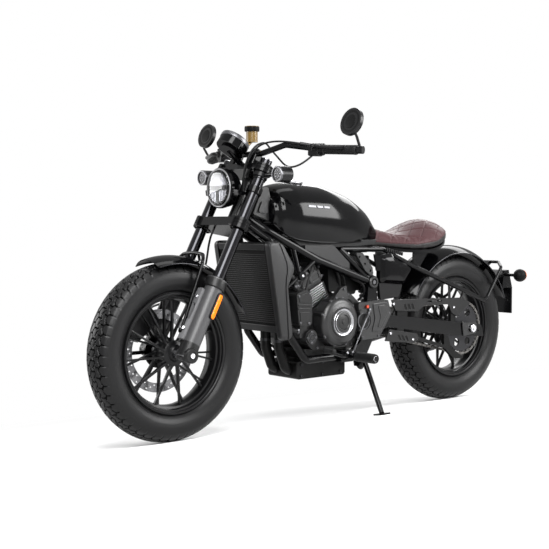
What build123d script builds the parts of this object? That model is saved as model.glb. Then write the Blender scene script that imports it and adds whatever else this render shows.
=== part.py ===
from build123d import *
from math import atan2, cos, degrees, hypot, radians, sin, tan
import os

# A mid-size bobber motorcycle, parked on its side stand.
# Everything is drawn upright, in millimetres: X forward from the rear axle, Y to the rider's left and
# Z up from the ground. The last section leans the whole machine over onto its stand.

# Driving sizes of the rolling chassis
wheelbase = 1490.0
rake = 28.0                     # steering head angle from the vertical
front_radius = 320.0            # 130/90-16 tyre
rear_radius = 323.0             # 150/80-16 tyre
front_tyre_half = 65.0
rear_tyre_half = 75.0
lean = 9.0                      # parked, to the left
leg_y = 110.0                   # half the distance between the fork legs
stem_back = 48.0                # the steering axis lies this far behind the legs
run_gap = 0.3                   # running clearance of shafts in bores
seat_gap = 0.3                  # clearance between pieces that rest on each other
fit_gap = 0.1                   # clearance of clamped tubes

# The plane square to the fork legs: x forward, y to the left, z up the leg from the front axle
fork = Plane(
    origin=(wheelbase, 0, front_radius),
    x_dir=(cos(radians(rake)), 0, sin(radians(rake))),
    z_dir=(-sin(radians(rake)), 0, cos(radians(rake))),
)


def side(y):
    """A plane for side outlines in (x, z) at a given y. It extrudes towards the right."""
    return Plane(origin=(0, y, 0), x_dir=(1, 0, 0), z_dir=(0, -1, 0))


def at_fork(x, y, z):
    return fork.from_local_coords(Vector(x, y, z))


def rod(start, end, radius, bore=0.0):
    """A straight round bar from one point to another, added to the part being built."""
    along = Vector(*end) - Vector(*start)
    with BuildSketch(Plane(origin=start, z_dir=along)) as section:
        Circle(radius)
        if bore:
            Circle(bore, mode=Mode.SUBTRACT)
    extrude(section.sketch, amount=along.length)


def tube(points, radius, bends=40.0):
    """A round bar along straight runs joined by arcs, added to the part being built."""
    with BuildLine() as route:
        FilletPolyline(*points, radius=bends)
    with BuildSketch(Plane(origin=points[0], z_dir=route.line % 0)) as section:
        Circle(radius)
    sweep(section.sketch, path=route.line)


def plate(outline, y_outer, thickness, corner=0.0, mode=Mode.ADD):
    """A flat plate from its side outline, running inwards from y_outer."""
    with BuildSketch(side(y_outer)) as face:
        with BuildLine():
            Polyline(*outline, close=True)
        make_face()
        if corner:
            fillet(face.vertices(), corner)
    extrude(face.sketch, amount=thickness, mode=mode)


def disc(x, z, y_outer, thickness, radius, hole=0.0, mode=Mode.ADD):
    """A round plate or boss across the machine, running inwards from y_outer."""
    with BuildSketch(side(y_outer)) as face:
        with Locations((x, z)):
            Circle(radius)
            if hole:
                Circle(hole, mode=Mode.SUBTRACT)
    extrude(face.sketch, amount=thickness, mode=mode)


def both_sides():
    mirror(about=Plane.XZ)


pieces = {}


def keep(builder, label):
    pieces[label] = builder.part


# Wheels
rim_flange = 217.0
bead_radius = 205.0
bead_inset = 8.0
rim_well = 188.0
hub_radius = 30.0
hub_flange_radius = 46.0
spoke_pairs = 11
spoke_root = (15.0, 10.0)
spoke_tip = (9.0, 7.0)
axle_radius = 10.0
front_sag, front_crown = 20.0, 53.0     # drop and half width of the crown arc
rear_sag, rear_crown = 24.0, 62.0
front_hub_half = 56.0
rear_hub_half = 88.0

wheel_table = [
    # name, x, radius, tyre half, crown sag, crown half, rim half, hub half
    ("front", wheelbase, front_radius, front_tyre_half, front_sag, front_crown, 52.0, front_hub_half),
    ("rear", 0.0, rear_radius, rear_tyre_half, rear_sag, rear_crown, 58.0, rear_hub_half),
]
for name, cx, radius, half, sag, crown, rim, hub in wheel_table:
    axle_line = Axis((cx, 0, radius), (0, 1, 0))
    section = Plane(origin=(cx, 0, radius), x_dir=(0, 1, 0), z_dir=(1, 0, 0))
    bead = rim - bead_inset
    with BuildPart() as tyre:
        with BuildSketch(section):
            with BuildLine():
                Polyline((-bead, rim_flange + 1), (-bead, bead_radius), (bead, bead_radius), (bead, rim_flange + 1))
                ThreePointArc((bead, rim_flange + 1), (half, rim_flange + 42), (crown, radius - sag))
                ThreePointArc((crown, radius - sag), (0, radius), (-crown, radius - sag))
                ThreePointArc((-crown, radius - sag), (-half, rim_flange + 42), (-bead, rim_flange + 1))
            make_face()
        revolve(axis=axle_line)
    keep(tyre, f"tyre_{name}")

    with BuildPart() as wheel:
        with BuildSketch(section):
            with BuildLine():
                Polyline(
                    (-rim, rim_flange), (-bead, rim_flange), (-bead, bead_radius), (bead, bead_radius),
                    (bead, rim_flange), (rim, rim_flange), (rim, rim_flange - 14), (rim - 16, rim_well + 4),
                    (14, rim_well), (-14, rim_well), (-rim + 16, rim_well + 4), (-rim, rim_flange - 14),
                    close=True,
                )
            make_face()
        revolve(axis=axle_line)
        # hub barrel with two spoke flanges, bored for the axle
        with BuildSketch(section):
            with BuildLine():
                Polyline(
                    (-hub, axle_radius + run_gap), (-hub, 27), (-44, hub_radius), (-40, hub_flange_radius),
                    (-24, hub_flange_radius), (-18, hub_radius - 2), (18, hub_radius - 2),
                    (24, hub_flange_radius), (40, hub_flange_radius), (44, hub_radius), (hub, 27),
                    (hub, axle_radius + run_gap),
                    close=True,
                )
            make_face()
        revolve(axis=axle_line)
        # slim cast spokes in splayed pairs, each pair from one flange to the middle of the rim
        for n in range(2 * spoke_pairs):
            flange_y = 30.0 if n % 2 else -30.0
            a = radians(360.0 / (2 * spoke_pairs) * n)
            b = a + radians(12.0 if n % 2 else -12.0)
            root = Vector(cx + 38 * cos(a), flange_y, radius + 38 * sin(a))
            tip = Vector(cx + (rim_well + 6) * cos(b), flange_y * 0.3, radius + (rim_well + 6) * sin(b))
            along = (tip - root).normalized()
            across = (Vector(0, 1, 0) - along * along.Y).normalized()
            for end, size in ((root, spoke_root), (tip, spoke_tip)):
                with BuildSketch(Plane(origin=end, x_dir=across, z_dir=along)):
                    Rectangle(size[0], size[1])
            loft()
    keep(wheel, f"wheel_{name}")


def brake_disc(cx, cz, y_outer, radius, width, bell, holes):
    """A drilled brake disc on its carrier."""
    with BuildPart() as rotor:
        disc(cx, cz, y_outer, 5, radius, radius - width)
        # drilling, in rows that curve outwards
        with BuildSketch(side(y_outer + 1)):
            for row in range(3):
                turn = row * 360.0 / holes / 3
                ring = radius - width + width * (row + 1) / 4
                for n in range(holes):
                    a = radians(turn + 360.0 / holes * n)
                    with Locations((cx + ring * cos(a), cz + ring * sin(a))):
                        Circle(3.5)
        extrude(amount=7, mode=Mode.SUBTRACT)
        # carrier arms
        disc(cx, cz, y_outer, 5, bell, axle_radius + 18)
        for n in range(6):
            a = radians(60.0 * n)
            with BuildSketch(side(y_outer)):
                with Locations(Location((cx + (radius - width + bell) / 2 * cos(a),
                                         cz + (radius - width + bell) / 2 * sin(a), 0), degrees(a))):
                    Rectangle(radius - width - bell + 12, 13)
            extrude(amount=5)
    return rotor


front_disc_radius = 150.0
front_disc_width = 34.0
rear_disc_radius = 120.0
front_disc_y = -front_hub_half
rear_disc_y = -rear_hub_half
keep(brake_disc(wheelbase, front_radius, front_disc_y, front_disc_radius, front_disc_width, 62.0, 18), "disc_front")
keep(brake_disc(0.0, rear_radius, rear_disc_y, rear_disc_radius, 30.0, 52.0, 14), "disc_rear")

# Rear sprocket and chain
chain_y = rear_hub_half + 3     # middle plane of the chain; the sprocket seats on the hub's end
chain_width = 15.0
chain_height = 12.0
sprocket_teeth = 45
sprocket_radius = 113.0         # pitch radius
drive_radius = 36.0
drive_x, drive_z = 655.0, 392.0
with BuildPart() as sprocket:
    tooth_tip = sprocket_radius - chain_height / 2 - 1.0
    disc(0, rear_radius, chain_y + 3, 6, tooth_tip, axle_radius + 16)
    # teeth gaps
    with BuildSketch(side(chain_y + 4)):
        for n in range(sprocket_teeth):
            a = radians(360.0 / sprocket_teeth * n)
            with Locations((tooth_tip * cos(a), rear_radius + tooth_tip * sin(a))):
                Circle(4.2)
        for n in range(6):
            a = radians(60.0 * n)
            with Locations((72 * cos(a), rear_radius + 72 * sin(a))):
                Circle(17)
    extrude(amount=8, mode=Mode.SUBTRACT)
keep(sprocket, "rear_sprocket")


def chain_loop(grow):
    """The chain's side outline at its pitch line, grown outwards or inwards."""
    gap = hypot(drive_x, drive_z - rear_radius)
    heading = degrees(atan2(drive_z - rear_radius, drive_x))
    spread = degrees(atan2((sprocket_radius - drive_radius), gap))
    points = []
    for cx, cz, r, turn in (
        (0.0, rear_radius, sprocket_radius + grow, heading + 90 - spread),
        (drive_x, drive_z, drive_radius + grow, heading + 90 - spread),
        (drive_x, drive_z, drive_radius + grow, heading - 90 + spread),
        (0.0, rear_radius, sprocket_radius + grow, heading - 90 + spread),
    ):
        points.append((cx + r * cos(radians(turn)), cz + r * sin(radians(turn))))
    nose = (drive_x + (drive_radius + grow) * cos(radians(heading)),
            drive_z + (drive_radius + grow) * sin(radians(heading)))
    tail = (-(sprocket_radius + grow) * cos(radians(heading)),
            rear_radius - (sprocket_radius + grow) * sin(radians(heading)))
    Line(points[0], points[1])
    ThreePointArc(points[1], nose, points[2])
    Line(points[2], points[3])
    ThreePointArc(points[3], tail, points[0])


with BuildPart() as chain:
    with BuildSketch(side(chain_y + chain_width / 2)):
        with BuildLine():
            chain_loop(chain_height / 2)
        make_face()
        with BuildLine():
            chain_loop(-chain_height / 2)
        make_face(mode=Mode.SUBTRACT)
    extrude(amount=chain_width)
keep(chain, "chain")

# Side stand's pivot and foot: the leg folds back about an oblique pivot, and its foot stands on the
# ground plane of the leaning machine
ground_normal = Vector(0, -sin(radians(lean)), cos(radians(lean)))


def sink(crown, sag):
    """How far a tyre's lowest point drops when it leans on its crown arc."""
    return (crown ** 2 + sag ** 2) / (2 * sag) * (1 - cos(radians(lean)))


front_sink, rear_sink = sink(front_crown, front_sag), sink(rear_crown, rear_sag)
stand_pivot = Vector(662.0, 156.0, 236.0)
foot_y = 296.0
foot_x = 706.0
foot_sink = rear_sink + (front_sink - rear_sink) * foot_x / wheelbase
foot_point = Vector(foot_x, foot_y, (foot_y * sin(radians(lean)) - foot_sink) / cos(radians(lean)))
stand_down = (foot_point - stand_pivot).normalized()
stand_up = Vector(-1.0, 0.12, 0.10).normalized()
stand_axis = stand_down.cross(stand_up).normalized()
stand_fold = stand_down.get_angle(stand_up)
stand_half = 10.0

# Frame: head tube, rails, down tubes, cradle, pivot plates and spine
head_bore = 13.0                # stem radius
clamp_low = 495.0               # fork clamps, up the leg
clamp_low_top = 530.0
clamp_high = 728.0
clamp_high_top = 752.0
head_gap = 6.5
rail_radius = 16.0
down_radius = 15.0
rail_y = 118.0
cradle_y = 124.0
cradle_z = 262.0
pivot_x, pivot_z = 585.0, 398.0
boss_x, boss_z = 600.0, 544.0
spine_radius = 20.0
spine_front, spine_knee, spine_tail = (1160.0, 822.0), (900.0, 745.0), (745.0, 672.0)
spine_slope = atan2(spine_front[1] - spine_knee[1], spine_front[0] - spine_knee[0])
tunnel_gap = 10.0               # between the spine and the tank's tunnel
tunnel_rise = (spine_radius + tunnel_gap) / cos(spine_slope)
rail_route = [(1160, 22, 806), (1103, 80, 751), (885, rail_y, 640), (boss_x, 128, boss_z)]
down_route = [(1176, 24, 792), (1092, 92, 712), (1028, cradle_y, 360), (946, cradle_y, cradle_z - 4),
              (690, cradle_y, cradle_z)]
strut_route = [(boss_x, 128, boss_z), (678, rail_y, 614), (745, 98, 676)]
with BuildPart() as frame:
    tube(rail_route, rail_radius, 50)
    tube(down_route, down_radius, 40)
    tube(strut_route, 14, 60)
    rod((1050, 122, 528), (893, rail_y, 636), 8)
    rod((990, 100, 692), (970, 120, 575), 9)
    disc(970, 580, 136, 24, 17)
    rod((745, 98, 676), (600, 101, 674), 13)
    # pivot plate with its upper boss
    plate([(716, 247), (640, 247), (590, 330), (576, 420), (578, 548), (622, 548), (636, 430), (668, 310), (716, 277)],
          140, 18)
    disc(boss_x, boss_z, 146, 30, 25)
    disc(650, 285, 122, 122 - 118 - seat_gap, 12)
    disc(pivot_x, pivot_z, 140, 18, 24)
    both_sides()
    rod((spine_front[0], 0, spine_front[1]), (spine_knee[0], 0, spine_knee[1]), spine_radius)
    rod((spine_knee[0], 0, spine_knee[1]), (spine_tail[0], 0, spine_tail[1]), spine_radius)
    # rubber collar that the tank rests on
    rod((1010, 0, spine_knee[1] + 110 * tan(spine_slope)), (975, 0, spine_knee[1] + 75 * tan(spine_slope)),
        spine_radius + tunnel_gap - seat_gap)
    disc(745, 674, 98, 196, 14)
    disc(672, 252, cradle_y, 2 * cradle_y, 12)
    disc(boss_x, boss_z, 120, 240, 14)
    rod(at_fork(-stem_back, 0, clamp_low_top + head_gap), at_fork(-stem_back, 0, clamp_high - head_gap), 30)
    # pivot holes and the bearing bore
    disc(pivot_x, pivot_z, 150, 300, 10 + fit_gap, mode=Mode.SUBTRACT)
    with BuildSketch(fork.offset(clamp_low)):
        with Locations((-stem_back, 0)):
            Circle(head_bore + run_gap)
    extrude(amount=clamp_high_top - clamp_low, mode=Mode.SUBTRACT)
    # side stand lug
    rod(stand_pivot - stand_axis * 40, stand_pivot - stand_axis * (stand_half + run_gap), 15)
    plate([(636, 262), (692, 262), (682, 214), (642, 208)], 132, 14, 5)
keep(frame, "main_frame")

# Subframe with the fender stays and the rear loop
stay_low = (-128.0, 118.0, 434.0)
with BuildPart() as subframe:
    tube([(600, 101, 674), (512, 104, 672), (330, 110, 598), (60, 118, 501), stay_low], 10, 60)
    tube([(-118, 118, 438), (-148, 114, 450), (-262, 100, 578), (-302, 52, 600)], 7, 22)
    rod((-302, 52, 600), (-302, 0, 600), 7)
    plate([(450, 660), (486, 664), (480, 606), (458, 606)], 112, 10)
    disc(469, 616, 124 - seat_gap, 20, 9)
    plate([(334, 600), (300, 588), (214, 690), (330, 690)], 112, 8)
    both_sides()
    disc(545, 671, 104, 208, 10)

# Swingarm with its pivot and cross tubes
arm_outer = 142.0
arm_width = 30.0
spool_x, spool_z = -52.0, 309.0
spool_bore, spool_depth = 3.4, 20.0
with BuildPart() as swingarm:
    plate([(555, 352), (555, 413), (499, 407), (-73, 335), (-91, 282), (119, 299), (507, 359)], arm_outer, arm_width, 4)
    plate([(612, 378), (612, 418), (480, 404), (480, 356)], 118, 14)
    both_sides()
    disc(pivot_x, pivot_z, 118, 236, 20)
    disc(pivot_x, pivot_z, 146, 292, 10)
    disc(475, 383, 112, 224, 18)
    plate([(492, 388), (452, 392), (452, 428), (480, 430)], 20, 40)
    disc(0, rear_radius, 150, 300, axle_radius + fit_gap, mode=Mode.SUBTRACT)
    # threaded holes for stand spools
    disc(spool_x, spool_z, arm_outer, spool_depth, spool_bore, mode=Mode.SUBTRACT)
    disc(spool_x, spool_z, -arm_outer + spool_depth, spool_depth, spool_bore, mode=Mode.SUBTRACT)
keep(swingarm, "swingarm")

# Rear shock between the swingarm bracket and the subframe
with BuildPart() as shock:
    low, high = Vector(468, 0, 432), Vector(540, 0, 660)
    along = (high - low).normalized()
    rod(low, high, 9)
    for n in range(9):
        rod(low + along * (30 + 20 * n), low + along * (42 + 20 * n), 33)
    rod(low + along * 22, low + along * 30, 36)
    rod(low + along * 202, low + along * 212, 36)
    rod(low + along * 24, low + along * 206, 24)
    add(swingarm.part, mode=Mode.SUBTRACT)
    add(subframe.part, mode=Mode.SUBTRACT)
keep(shock, "rear_shock")

# Axles
with BuildPart() as front_axle:
    disc(wheelbase, front_radius, 134, 262, axle_radius)
    disc(wheelbase, front_radius, 77 - seat_gap, 77 - front_hub_half - 1, 15)
    disc(wheelbase, front_radius, -front_hub_half - 5.6, 77 - front_hub_half - 6, 15)
    disc(wheelbase, front_radius, 136, 6, 13)
keep(front_axle, "front_axle")
with BuildPart() as rear_axle:
    disc(0, rear_radius, 160, 320, axle_radius)
    disc(0, rear_radius, arm_outer - arm_width - seat_gap, arm_outer - arm_width - seat_gap - rear_hub_half - 0.5, 15)
    disc(0, rear_radius, -rear_hub_half - 5.6, arm_outer - arm_width - rear_hub_half - 6, 15)
    for y in (arm_outer + 14, -arm_outer):
        with BuildSketch(side(y)):
            with Locations((0, rear_radius)):
                RegularPolygon(16, 6)
        extrude(amount=14)
keep(rear_axle, "rear_axle")

# Engine
case_half = 118.0
bank = 25.0                     # cylinders lean forward
with BuildPart() as crankcase:
    plate([(640, 296), (640, 452), (700, 500), (800, 492), (926, 436), (950, 400), (950, 330), (900, 292)],
          case_half, 2 * case_half, 8)
    plate([(724, 256), (700, 296), (930, 296), (900, 256)], 96, 192)
    # pocket for the chain's front end, with the drive sprocket
    disc(drive_x, drive_z, case_half + 1, case_half + 1 - 74, drive_radius + 14, mode=Mode.SUBTRACT)
    plate([(600, drive_z - 50), (600, drive_z + 50), (drive_x, drive_z + 50), (drive_x, drive_z - 50)],
          case_half + 1, case_half + 1 - 74, mode=Mode.SUBTRACT)
    disc(drive_x, drive_z, chain_y + 3, chain_y + 3 - 74, drive_radius - chain_height / 2 - 1)
keep(crankcase, "crankcase")

barrel = Plane(
    origin=(842, 0, 450),
    x_dir=(cos(radians(bank)), 0, -sin(radians(bank))),
    z_dir=(sin(radians(bank)), 0, cos(radians(bank))),
)
fin_count = 8
fin_pitch = 8.5
with BuildPart() as cylinders:
    with BuildSketch(barrel.offset(-30)):
        Rectangle(104, 176)
    extrude(amount=130)
    for n in range(fin_count):
        with BuildSketch(barrel.offset(26 + fin_pitch * n)):
            RectangleRounded(122, 206, 14)
        extrude(amount=3)
    add(crankcase.part, mode=Mode.SUBTRACT)
keep(cylinders, "cylinders")
with BuildPart() as head:
    with BuildSketch(barrel.offset(100)):
        RectangleRounded(128, 188, 12)
    extrude(amount=46)
    with BuildSketch(barrel.offset(146)):
        RectangleRounded(112, 176, 20)
    extrude(amount=26, taper=14)
keep(head, "cylinder_head")

# Left engine covers
alternator_x, alternator_z, alternator_r = 806.0, 399.0, 95.0
with BuildPart() as alternator:
    with BuildSketch(Plane(origin=(alternator_x, 0, alternator_z), x_dir=(1, 0, 0), z_dir=(0, 0, 1))):
        with BuildLine():
            Polyline((0, case_half + seat_gap), (alternator_r, case_half + seat_gap), (alternator_r, 158))
            ThreePointArc((alternator_r, 158), (alternator_r - 6, 172), (alternator_r - 22, 180))
            Polyline((alternator_r - 22, 180), (56, 184), (52, 178), (48, 178), (44, 188), (30, 190), (26, 184), (0, 184),
                     (0, case_half + seat_gap))
        make_face()
    revolve(axis=Axis((alternator_x, 0, alternator_z), (0, 1, 0)))
    plate([(771, 537), (798, 531), (836, 493), (846, 470), (760, 470)], 166, 18, 3)
    plate([(840, 480), (760, 470), (766, 440), (850, 440)], 160, 160 - case_half - seat_gap)
keep(alternator, "alternator_cover")

with BuildPart() as sprocket_cover:
    plate([(718, 468), (552, 474), (532, 418), (602, 325), (700, 322), (706, 380)], 178, 30, 8)
    disc(drive_x + 34, drive_z + 5, 184, 36, 46)
    disc(drive_x + 34, drive_z + 5, 185, 8, 34, mode=Mode.SUBTRACT)
    plate([(716, 462), (700, 462), (696, 330), (702, 330)], 150, 150 - case_half - seat_gap)
    disc(alternator_x, alternator_z, 200, 100, alternator_r + 2, mode=Mode.SUBTRACT)
keep(sprocket_cover, "sprocket_cover")

clutch_x, clutch_z = 780.0, 394.0
with BuildPart() as clutch_cover:
    with BuildSketch(Plane(origin=(clutch_x, 0, clutch_z), x_dir=(1, 0, 0), z_dir=(0, 0, 1))):
        with BuildLine():
            Polyline((0, -case_half - seat_gap), (92, -case_half - seat_gap), (92, -150))
            ThreePointArc((92, -150), (86, -164), (70, -170))
            Polyline((70, -170), (0, -176), (0, -case_half - seat_gap))
        make_face()
    revolve(axis=Axis((clutch_x, 0, clutch_z), (0, 1, 0)))
    disc(884, 352, -case_half - seat_gap, 30, 42)
keep(clutch_cover, "clutch_cover")

with BuildPart() as water_pump:
    disc(936, 346, 148, 148 - case_half - seat_gap, 30)
    disc(936, 346, 149, 4, 24, 18, mode=Mode.SUBTRACT)
    plate([(944, 392), (1008, 396), (1020, 516), (966, 530), (942, 500)], 158, 92, 14)
    plate([(948, 400), (985, 400), (985, 346), (948, 346)], 136, 40)
    add(crankcase.part, mode=Mode.SUBTRACT)
    add(cylinders.part, mode=Mode.SUBTRACT)
    add(head.part, mode=Mode.SUBTRACT)
    add(frame.part, mode=Mode.SUBTRACT)
keep(water_pump, "coolant_box")

# Radiator between the shrouds
rad_lead = 66.0                 # its face ahead of the down tubes
rad_top = (down_route[1][0] + rad_lead, down_route[1][2] - 6)
rad_foot = (down_route[2][0] + rad_lead, down_route[2][2] + 12)
rad_slope = (rad_top[0] - rad_foot[0]) / (rad_top[1] - rad_foot[1])
rad_depth = 42.0
rad_half = 141.0
shroud_lip = 6.0
shroud_outer = 168.0
with BuildPart() as radiator:
    plate([rad_top, rad_foot, (rad_foot[0] - rad_depth, rad_foot[1] + 2), (rad_top[0] - rad_depth, rad_top[1] + 2)],
          rad_half, 2 * rad_half)
    plate([(rad_top[0] - 6, rad_top[1] - 26), (rad_foot[0] + 4, rad_foot[1] + 32), (rad_foot[0] + 14, rad_foot[1] + 32),
           (rad_top[0] + 4, rad_top[1] - 26)], rad_half - 12, 2 * rad_half - 24, mode=Mode.SUBTRACT)
    for z in (450, 610):
        x = rad_foot[0] + (z - rad_foot[1]) * rad_slope - rad_depth
        plate([(x + 3, z + 8), (x - 26, z + 8), (x - 26, z - 8), (x + 3, z - 8)], 114, 10)
        plate([(x + 3, z + 8), (x - 26, z + 8), (x - 26, z - 8), (x + 3, z - 8)], -104, 10)
    add(frame.part, mode=Mode.SUBTRACT)
keep(radiator, "radiator")
with BuildPart() as shrouds:
    plate([(rad_top[0] + shroud_lip, rad_top[1] + shroud_lip), (rad_top[0] - 60, rad_top[1] + shroud_lip),
           (rad_top[0] - 127, rad_top[1] - 88), (rad_foot[0] - 30, rad_foot[1] + 173),
           (rad_foot[0] - 48, rad_foot[1] - 27), (rad_foot[0] + shroud_lip, rad_foot[1] - 27)],
          shroud_outer, shroud_outer - rad_half - seat_gap, 8)
    both_sides()
keep(shrouds, "radiator_shrouds")

# Exhaust
header_y = 40.0
with BuildPart() as headers:
    for y in (header_y, -header_y):
        tube([(936, y, 541), (1012, y, 505), (1004, y, 300), (970, y, 214), (880, y, 214)], 20, 34)
    add(head.part, mode=Mode.SUBTRACT)
    add(crankcase.part, mode=Mode.SUBTRACT)
    plate([(955, 180), (955, 248), (700, 248), (700, 180)], 84, 168, 12)
    tube([(720, -60, 214), (640, -92, 212), (560, -180, 236), (500, -194, 262)], 22, 40)
keep(headers, "exhaust_headers")
with BuildPart() as silencer:
    rod((506, -194, 260), (470, -195, 276), 30)
    rod((488, -194.5, 268), (80, -200, 330), 46)
    rod((80, -200, 330), (50, -200.5, 334.5), 34)
    add(headers.part, mode=Mode.SUBTRACT)
keep(silencer, "silencer")

# Fuel tank
tank_table = [
    # x, bottom, top, half width
    (1062.0, 776.0, 880.0, 84.0),
    (1040.0, 744.0, 914.0, 116.0),
    (960.0, 712.0, 932.0, 140.0),
    (840.0, 703.0, 928.0, 144.0),
    (700.0, 702.0, 898.0, 132.0),
    (590.0, 704.0, 846.0, 104.0),
    (500.0, 708.0, 770.0, 58.0),
]
cap_x, cap_radius = 905.0, 38.0
def tank_shell(grow):
    """The tank's outer form, or one grown all round."""
    with BuildPart() as shell:
        for n, (x, bottom, top, wide) in enumerate(tank_table):
            low, half = bottom - grow, wide + grow
            tall = top + grow - low
            ends = grow if n == 0 else -grow if n == len(tank_table) - 1 else 0
            with BuildSketch(Plane(origin=(x + ends, 0, 0), x_dir=(0, 1, 0), z_dir=(1, 0, 0))):
                with BuildLine():
                    Line((-half * 0.8, low), (half * 0.8, low))
                    ThreePointArc((half * 0.8, low), (half, low + tall * 0.42), (half * 0.66, low + tall * 0.84))
                    ThreePointArc((half * 0.66, low + tall * 0.84), (0, low + tall), (-half * 0.66, low + tall * 0.84))
                    ThreePointArc((-half * 0.66, low + tall * 0.84), (-half, low + tall * 0.42), (-half * 0.8, low))
                make_face()
        loft()
    return shell.part


with BuildPart() as tank:
    add(tank_shell(0))
    # tunnel over the spine
    plate([(1110, 690), (1110, spine_knee[1] + 210 * tan(spine_slope) + tunnel_rise),
           (spine_knee[0], spine_knee[1] + tunnel_rise), (spine_tail[0], spine_tail[1] + tunnel_rise), (700, 690)],
          38, 76, mode=Mode.SUBTRACT)
    with BuildSketch(Plane.XY.offset(924)):
        with Locations((cap_x, 0)):
            Circle(cap_radius + seat_gap)
    extrude(amount=40, mode=Mode.SUBTRACT)
keep(tank, "fuel_tank")
with BuildPart() as cap:
    with BuildSketch(Plane.XY.offset(924)):
        with Locations((cap_x, 0)):
            Circle(cap_radius)
    extrude(amount=20)
    with BuildSketch(Plane.XY.offset(944)):
        with Locations((cap_x, 0)):
            Circle(cap_radius - 7)
    extrude(amount=5)
keep(cap, "fuel_cap")

# Seat: pad and pan share a table
seat_table = [
    # x, underside, edge top, middle top, half width
    (522.0, 688.0, 708.0, 736.0, 44.0),
    (430.0, 676.0, 702.0, 742.0, 96.0),
    (330.0, 668.0, 700.0, 742.0, 140.0),
    (220.0, 676.0, 716.0, 784.0, 148.0),
    (130.0, 708.0, 744.0, 786.0, 116.0),
    (96.0, 738.0, 752.0, 764.0, 62.0),
]


def seat_solid(lower, upper, narrow):
    with BuildPart() as solid:
        for x, low, edge, top, half in seat_table:
            w = half - narrow
            with BuildSketch(Plane(origin=(x, 0, 0), x_dir=(0, 1, 0), z_dir=(1, 0, 0))):
                with BuildLine():
                    Polyline((-w, low + upper * (edge - low)), (-w, low - lower), (w, low - lower),
                             (w, low + upper * (edge - low)))
                    ThreePointArc((w, low + upper * (edge - low)), (0, low + upper * (top - low)),
                                  (-w, low + upper * (edge - low)))
                make_face()
        loft()
    return solid


with BuildPart() as pad:
    add(seat_solid(0.0, 1.0, 0.0).part)
    add(tank_shell(1.5), mode=Mode.SUBTRACT)
keep(pad, "seat_cushion")
with BuildPart() as pan:
    for x, low, edge, top, half in seat_table:
        with BuildSketch(Plane(origin=(x, 0, 0), x_dir=(0, 1, 0), z_dir=(1, 0, 0))):
            with Locations((0, low - seat_gap - 6)):
                Rectangle(2 * half - 20, 12)
    loft()
    # nose hook to the frame's cross tube
    plate([(545, 700), (500, 690), (500, 676), (545, 681.4)], 20, 40)
    add(subframe.part, mode=Mode.SUBTRACT)
    add(tank.part, mode=Mode.SUBTRACT)
    add(pad.part, mode=Mode.SUBTRACT)
keep(pan, "seat_pan")
with BuildPart() as trimmed:
    add(subframe.part)
    add(frame.part, mode=Mode.SUBTRACT)
    add(pan.part, mode=Mode.SUBTRACT)
    add(pad.part, mode=Mode.SUBTRACT)
keep(trimmed, "subframe")

# Side covers and under-tank panels
with BuildPart() as side_cover:
    plate([(566, 650), (566, 540), (424, 528), (374, 592), (502, 660)], 160, 36)
    chamfer(side_cover.faces().sort_by(Axis.Y)[-1].edges(), 12)
    plate([(562, 541), (424, 529), (443, 477), (552, 470)], 136, 18, 3)
    plate([(604, 656), (566, 648), (566, 590), (590, 588)], 152, 8)
    both_sides()
keep(side_cover, "side_covers")
cover_outer = 62.0
with BuildPart() as panels:
    plate([(945, 694), (800, 694), (712, 622), (712, 580), (885, 640), (945, 670)], 122, 14)
    plate([(701, 662), (664, 662), (608, 602), (604, 574), (620, 572), (650, 592)], 146, 9, 4)
    # covers beside the steering head, each with its raised pad, on one boss through the spine
    plate([(1150, 812), (1104, 908), (1078, 912), (1068, 880), (1068, 786)], cover_outer, 20, 5)
    plate([(1130, 818), (1112, 858), (1086, 856), (1082, 814)], cover_outer + 6, 7, 7)
    both_sides()
    disc(1120, 816, cover_outer - 10, 2 * cover_outer - 20, 9)
    for x, z in ((680, 646), (650, 618), (620, 590)):
        disc(x, z, 150, 300, 5, mode=Mode.SUBTRACT)
    add(frame.part, mode=Mode.SUBTRACT)
keep(panels, "frame_panels")
with BuildPart() as airbox:
    plate([(616, 510), (616, 640), (700, 654), (800, 654), (790, 510)], 88, 176, 8)
    add(frame.part, mode=Mode.SUBTRACT)
    add(head.part, mode=Mode.SUBTRACT)
keep(airbox, "airbox")


def fender(cx, cz, outer, edge, half, start, stop, skin=3.0):
    """A crowned mudguard, revolved about the axle from one angle to another."""
    with BuildPart() as guard:
        with BuildSketch(Plane(origin=(cx, 0, cz), x_dir=(0, 1, 0), z_dir=(1, 0, 0))):
            with BuildLine():
                ThreePointArc((-half, edge), (0, outer), (half, edge))
                Line((half, edge), (half - skin, edge))
                ThreePointArc((half - skin, edge), (0, outer - skin), (-half + skin, edge))
                Line((-half + skin, edge), (-half, edge))
            make_face()
        revolve(axis=Axis((cx, 0, cz), (0, -1, 0)), revolution_arc=stop - start)
    turn = Location((cx, 0, cz)) * Location((0, 0, 0), (0, 90 - start, 0)) * Location((-cx, 0, -cz))
    return guard.part.moved(turn)


front_fender_outer = 346.0
rear_fender_outer = 358.0
with BuildPart() as front_fender:
    add(fender(wheelbase, front_radius, front_fender_outer, 316, 75, 74, 158))
with BuildPart() as rear_fender:
    add(fender(0.0, rear_radius, rear_fender_outer, 322, 90, 28, 160))
    tab_x, tab_z = 228.0, 558.0
    disc(tab_x, tab_z, 106, 26, 7)
    disc(tab_x, tab_z, -80, 26, 7)
    plate([(-250, 560), (-238, 574), (-296, 606), (-308, 596)], 12, 24)
    add(trimmed.part, mode=Mode.SUBTRACT)
keep(rear_fender, "rear_fender")

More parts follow.
